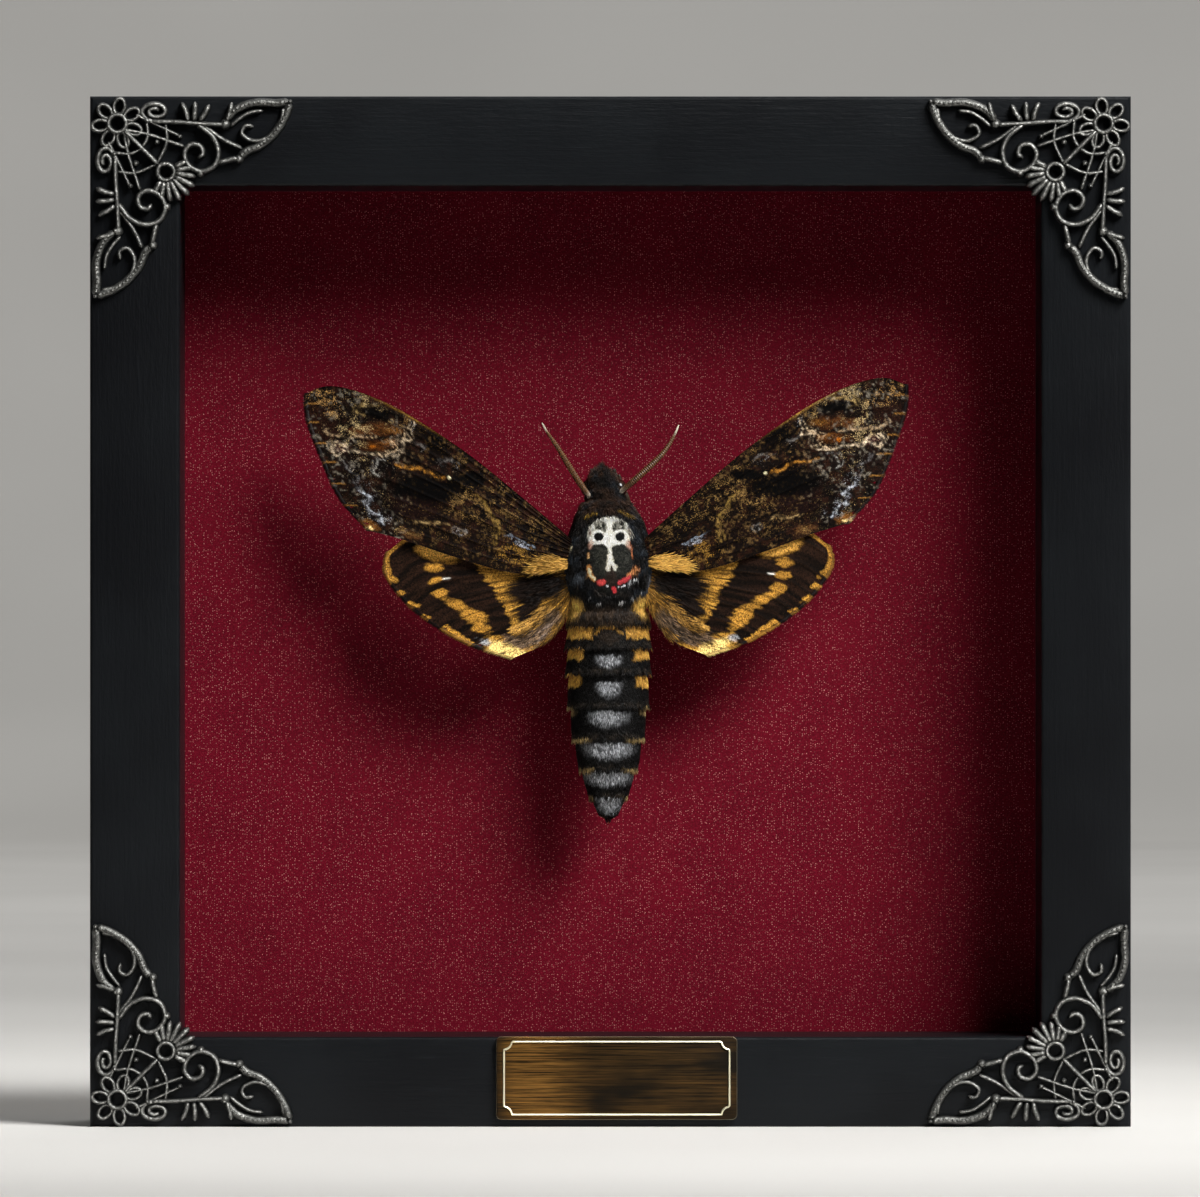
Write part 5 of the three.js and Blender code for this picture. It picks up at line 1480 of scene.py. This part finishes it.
class Wing:
    """One wing: a flat outline, its markings, and where it is on the moth."""

    def __init__(self, name, sign, outline, colours_of, behind, seed):
        self.name, self.sign, self.outline, self.behind, self.seed = name, sign, outline, behind, seed
        self.colours_of = colours_of
        self.lines = {edge: smooth_line(outline[edge], 60) for edge in ("costa", "inner", "outer")}

    def place(self, s, t):
        """A flat place from s, root to outer edge, and t, leading to hind edge."""
        costa, inner = (along_line(self.lines[edge], s) for edge in ("costa", "inner"))
        outer = along_line(self.lines["outer"], t)
        first, last = (
            [np.array(self.outline[edge][end], float) for edge in ("costa", "inner")] for end in (0, -1))
        t2, s2 = t[:, None], s[:, None]
        near = first[0] + (first[1] - first[0]) * t2
        far = last[0] + (last[1] - last[0]) * t2
        return costa + (inner - costa) * t2 + near + (outer - near) * s2 - near - (far - near) * s2

    def to_world(self, flat, raise_):
        """Flat places as points of the model, raised towards the viewer."""
        droop = LEFT_WING_DROOP if self.sign < 0 else 0
        x = flat[:, 0] * math.cos(droop) + flat[:, 1] * math.sin(droop)
        z = flat[:, 1] * math.cos(droop) - flat[:, 0] * math.sin(droop)
        out = np.abs(x) / WING_BEND["span"]
        plane = WING_Y + WING_BEND["tip_back"] * out**2
        plane = plane - WING_BEND["bow"] * np.sin(math.pi * np.minimum(out, 1))
        plane = plane - WING_BEND["edge_forward"] * z**2
        return np.column_stack([BODY_X + self.sign * x, plane + self.behind - raise_, WING_HINGE_Z + z])

    def make_sheet(self, material):
        """A thin closed sheet with raised veins and a slightly worn outer edge."""
        rows, columns = (n for n in self.outline["grid"])
        s = np.repeat(np.linspace(0, 1, rows), columns)
        t = np.tile(np.linspace(0, 1, columns), rows)
        wear = 1 - 0.012 * ramp(s, 0.7, 1) * noise(np.column_stack([t * 40, 0 * t]), 1.0, self.seed + 60)
        for k, nick in enumerate(NICKS[self.sign]):
            wear = wear - (0.02 + 0.008 * k) * bump(t, nick, 0.008) * ramp(s, 0.93, 1)
        flat = self.place(s * wear, t)
        veins = sum(bump(t, vein, 0.008 + 0.006 * (1 - s)) for vein in self.outline["veins"])
        rise = 0.22 * np.clip(veins, 0, 1) * (1 - 0.55 * s) + 0.5 * bump(t, 0, 0.02) * (1 - 0.6 * s) * 0.4
        swell = 0.3 * (noise(flat, 9.0, self.seed + 61) - 0.5) * ramp(s, 0, 0.3)
        ripple = 0.25 * np.sin(t * 9 * math.pi) * s * (1 - s) + swell
        half = WING_THICKNESS / 2
        front = self.to_world(flat, half + rise + ripple)
        back = self.to_world(flat, -half + ripple)
        quads = grid_faces(rows, columns)
        count = rows * columns
        edge = np.concatenate([
            np.arange(columns), np.arange(1, rows) * columns + columns - 1,
            (rows - 1) * columns + np.arange(columns - 2, -1, -1), np.arange(rows - 2, 0, -1) * columns])
        after = np.roll(edge, -1)
        rim = np.column_stack([edge, after, after + count, edge + count])
        if self.sign > 0:
            faces = np.vstack([quads, quads[:, ::-1] + count, rim[:, ::-1]])
        else:
            faces = np.vstack([quads[:, ::-1], quads + count, rim])
        ground, dust, amount = self.colours_of(flat[:, 0], flat[:, 1], s, t, self.seed)
        colours = {
            "ground": np.vstack([ground, ground * 0.8 + 0.2 * np.array(hexed("#6b4c28"))]),
            "dust": np.vstack([np.column_stack([dust, share * amount]) for share in (1, 0.6)]),
        }
        make_piece(self.name, np.vstack([front, back]), faces, material, self.name.split("_")[0] + "_scales",
                   ["moth_" + self.name], colours=colours)

    def make_hair(self, name, material, where, length, width, lift, count, tone=None):
        """Hair that lies outwards from the root; where(x, z) gives its density."""
        tries = count // 1
        s = random.random(tries)
        t = random.random(tries)
        flat = self.place(s, t)
        kept = random.random(tries) < where(flat[:, 0], flat[:, 1])
        s, t, flat = s[kept], t[kept], flat[kept]
        ahead = self.place(np.minimum(s + 0.01, 1), t)
        roots = self.to_world(flat, WING_THICKNESS / 2)
        lie = self.to_world(ahead, WING_THICKNESS / 2) - roots
        lie[np.linalg.norm(lie, axis=1) < 1e-6] = [self.sign, 0, 0]
        out = ahead - flat
        shown = flat + out / np.maximum(np.linalg.norm(out, axis=1), 1e-6)[:, None] * 0.5 * length
        ground = self.colours_of(shown[:, 0], shown[:, 1], s, t, self.seed)[0]
        if tone:
            ground = lay(ground, tone, np.full(len(s), 0.85))
        else:
            ground = lay(ground, "#1a120c", 0.8 * (random.random(len(s)) < 0.35))
        make_coat(name, roots, np.tile(FRONT, (len(s), 1)), lie, length, width, lift, ground,
                  inset_map(s, t), material, 0.05)

    def make_fringe(self, material):
        """Short scales that stand out along the outer edge."""
        count = 2200
        t = np.sort(random.random(count))
        s = np.full(count, 0.985)
        flat = self.place(s, t)
        roots = self.to_world(flat, 0)
        lie = self.to_world(self.place(np.ones(count), t), 0) - roots
        ground = self.colours_of(flat[:, 0], flat[:, 1], s, t, self.seed)[0]
        make_coat("fringe_" + self.name, roots, np.tile(FRONT, (count, 1)), lie, 0.95, 0.16, 3.0,
                  ground * 0.8, inset_map(s, t), material, 0)


def make_wings():
    """Both pairs of wings, with their hair and fringes."""
    hair = fur("wing_hair", gloss=0.5)
    looks = [scales("forewing_scales"), scales("hindwing_scales")]
    for (side, sign), seed in zip(SIDES, (200, 100)):
        fore = Wing(f"forewing_{side}", sign, FOREWING, forewing_colours, 0, seed)
        hind = Wing(f"hindwing_{side}", sign, HINDWING, hindwing_colours, HINDWING_BEHIND, seed + 50)
        for wing, look in zip((fore, hind), looks):
            wing.make_sheet(look)
        hind.make_hair(f"coat_hindwing_{side}", hair, hindwing_hair_zone, 2.2, 0.14, 9, 9000)
        fore.make_hair(
            f"coat_forewing_root_{side}", hair, forewing_root_zone, 2.4, 0.17, 12, 24000, "#d8a550")
        for wing in (fore, hind):
            wing.make_fringe(hair)


# Head and limbs

def moth_points(places, sign):
    """Points of the model from places outward, along the body and behind its middle."""
    return [(BODY_X + sign * out, BODY_Y + behind, BODY_TIP_Z + along) for out, along, behind in places]


def make_feelers():
    """Ringed antennae, pale at their hooked tips and at their roots."""
    material = horn("moth_antenna", "#2a190b", "#6b4722", 0.5, tinted=True)
    around = 14
    for side, sign in SIDES:
        line = even_line(moth_points(ANTENNAE[side], sign), 0.06)
        points, faces = tube(line, ANTENNA_RADII, around, ridge=0.15, ridge_pitch=0.42, flatten=0.8)
        share = np.concatenate([np.repeat(np.linspace(0, 1, len(line)), around), [0, 1]])
        tint = lay(plain("#4d331a", len(share)), "#e3dcc6", ramp(share, 0.86, 0.97))
        tint = lay(tint, "#b9b2a2", 1 - ramp(share, 0.03, 0.16))
        make_piece(f"antenna_{side}", points, faces, material, "moth_antenna", [f"moth_antenna_{side}"],
                   colours={"tint": tint})


def make_eyes():
    """Round eyes, each a closed ball whose poles point outwards and inwards."""
    material = eye_gloss()
    rows, sides = EYE["rows"], EYE["sides"]
    shift = float(np.interp(EYE["along"], *zip(*HEAD_SHIFT)))
    turns = np.linspace(0.02, math.pi - 0.02, rows)
    angles = 2 * math.pi * np.arange(sides) / sides
    for side, sign in SIDES:
        centre = np.array([BODY_X + shift + sign * EYE["x"], BODY_Y + EYE["y"], BODY_TIP_Z + EYE["along"]])
        points = []
        for a in turns:
            for b in angles:
                out = np.array([sign * math.cos(a), math.sin(a) * math.cos(b), math.sin(a) * math.sin(b)])
                points.append(centre + EYE["radius"] * out)
        faces = grid_faces(rows, sides, wrap=True).tolist()
        faces += [list(range(sides)), list(range((rows - 1) * sides, rows * sides))[::-1]]
        faces = [face[::sign] for face in faces]
        make_piece(f"eye_{side}", points, faces, material, "moth_eye", [f"moth_eye_{side}"])


def make_palps():
    """Palps under the front of the head, thick with short hair."""
    material = bpy.data.materials["moth_fur"]
    brown = np.array(hexed("#2e2319"))
    shares = np.linspace(0, 1, len(PALP_RADII))
    for side, sign in SIDES:
        places = [(out + sign * PALP_SHIFT, along, behind) for out, along, behind in PALP]
        line = even_line(moth_points(places, sign), 0.3)
        line = line[:int(len(line) * PALP_SHOWN)]
        points, faces = tube(line, [r * PALP_CORE for r in PALP_RADII], 16)
        make_piece(f"palp_{side}", points, faces, material, "moth_fur", [f"moth_palp_{side}"],
                   colours={"tint": np.tile(brown, (len(points), 1))})
        count = 700
        share = random.random(count)
        turn = 2 * math.pi * random.random(count)
        normals = np.column_stack([np.cos(turn), np.sin(turn), np.zeros(count)])
        roots = along_line(line, share) + normals * (np.interp(share, shares, PALP_RADII) * 0.72)[:, None]
        lie = along_line(line, np.minimum(share + 0.05, 1)) - along_line(line, np.maximum(share - 0.05, 0))
        tone = brown * (0.6 + 1.6 * random.random(count))[:, None]
        uv = np.column_stack([0.01 + 0.98 * share, turn / 7])
        make_coat(f"coat_palp_{side}", roots, normals, lie, 0.9, 0.15, 22.0, tone, uv, material)


def make_limbs():
    """Folded legs with rows of spines, and the coiled tongue."""
    material = horn("moth_limbs", "#1d1510", "#3a2b1e", 0.4)
    for side, sign in SIDES:
        for pair, places in LEGS.items():
            line = even_line(moth_points(places, sign), 0.25)
            parts = [tube(line, LEG_RADII, 12, ridge=0.05, ridge_pitch=1.9)]
            reach = np.array([sign, 1, 1]) * SPINE["reach"]
            for k in range(len(line) // 2, len(line) - 4, SPINE["every"]):
                tip = line[k] + reach * SPINE["length"]
                parts.append(tube(np.linspace(line[k], tip, 4), SPINE["radii"], 5))
            name = f"{pair}_leg_{side}"
            make_piece(name, *joined(parts), material, "moth_limbs", [f"moth_{name}"])
    coil = [TONGUE_ROOT]
    for share in np.linspace(0, 1, TONGUE["points"] + 1):
        a = share * TONGUE["turns"] * 2 * math.pi
        radius = TONGUE["radius"] - TONGUE["shrink"] * share
        along, behind = TONGUE["along"] + radius * math.cos(a), TONGUE["behind"] + radius * math.sin(a)
        coil.append((TONGUE["out"], along, behind))
    line = even_line(moth_points(coil, -1), 0.12)
    points, faces = tube(line, TONGUE_RADII, 12, ridge=0.06, ridge_pitch=0.35)
    make_piece("tongue", points, faces, material, "moth_limbs", ["moth_tongue"])


# Room

def make_room():
    """A round pale floor that sweeps up into a backdrop on all sides, beyond the camera."""
    n = Nodes("floor", Roughness=0.75, Specular_IOR_Level=0.2)
    cloud = n.noise(n.place(), 260, detail=2)
    n.set("Base Color", n.blend(cloud, 0.3, 0.7, "#c6c4c0", "#cccac6"))
    section = [(FLOOR_RADIUS * share, 0) for share in (0.001, 0.5, 1)]
    for step in range(1, 13):
        a = math.pi / 2 * step / 12
        section.append((FLOOR_RADIUS + SWEEP_RADIUS * math.sin(a), SWEEP_RADIUS * (1 - math.cos(a))))
    section.append((FLOOR_RADIUS + SWEEP_RADIUS, WALL_HEIGHT))
    sides = 96
    turns = 2 * math.pi * np.arange(sides) / sides
    points = [(out * math.cos(a), out * math.sin(a), up) for out, up in section for a in turns]
    faces = grid_faces(len(section), sides, wrap=True).tolist()
    faces.append(list(range(sides)))
    mesh = bpy.data.meshes.new("floor")
    mesh.from_pydata(points, [], faces)
    mesh.polygons.foreach_set("use_smooth", [True] * len(mesh.polygons))
    mesh.materials.append(n.material)
    put_in_scene("floor", mesh)


def turn_towards(place, target):
    """The rotation with which a light at a place faces a target."""
    direction = np.array(target) - np.array(place)
    flat = math.hypot(direction[0], direction[1])
    return math.atan2(flat, -direction[2]), 0, math.atan2(direction[1], direction[0]) - math.pi / 2


def make_light(name, place, target, size, watts, spread=180):
    """A square lamp."""
    lamp = bpy.data.lights.new(name, "AREA")
    lamp.shape = "SQUARE"
    lamp.size = size
    lamp.energy = watts
    lamp.spread = math.radians(spread)
    light = put_in_scene(name, lamp)
    light.location = place
    light.rotation_euler = turn_towards(light.location, target)


def make_lights():
    """A key light on the box, weak fill, and light on the back and on the backdrop."""
    direction = np.array(KEY_DIRECTION) / np.linalg.norm(KEY_DIRECTION)
    make_light("key", tuple(np.array(BOX_MIDDLE) + KEY_DISTANCE * direction), BOX_MIDDLE, *KEY_LIGHT)
    for name, row in OTHER_LIGHTS.items():
        make_light(name, *row)
    world = bpy.data.worlds.new("studio")
    world.use_nodes = True
    for socket, value in SKY.items():
        world.node_tree.nodes["Background"].inputs[socket].default_value = value
    bpy.context.scene.world = world


def make_camera():
    """The photo's straight view of the front, from far off."""
    data = bpy.data.cameras.new("camera")
    data.lens = CAMERA_LENS
    data.sensor_width = 36
    data.clip_end = 20
    camera = put_in_scene("camera", data)
    camera.location = (CAMERA_X * MM, (RAIL_FRONT - CAMERA_DISTANCE) * MM, CAMERA_Z * MM)
    camera.rotation_euler = (math.pi / 2, 0, 0)
    bpy.context.scene.camera = camera


bpy.context.scene.view_settings.view_transform = "Standard"
make_camera()
make_room()
make_lights()
make_rails()
dress_back()
make_corners()
make_plate()
make_body()
make_wings()
make_feelers()
make_eyes()
make_palps()
make_limbs()
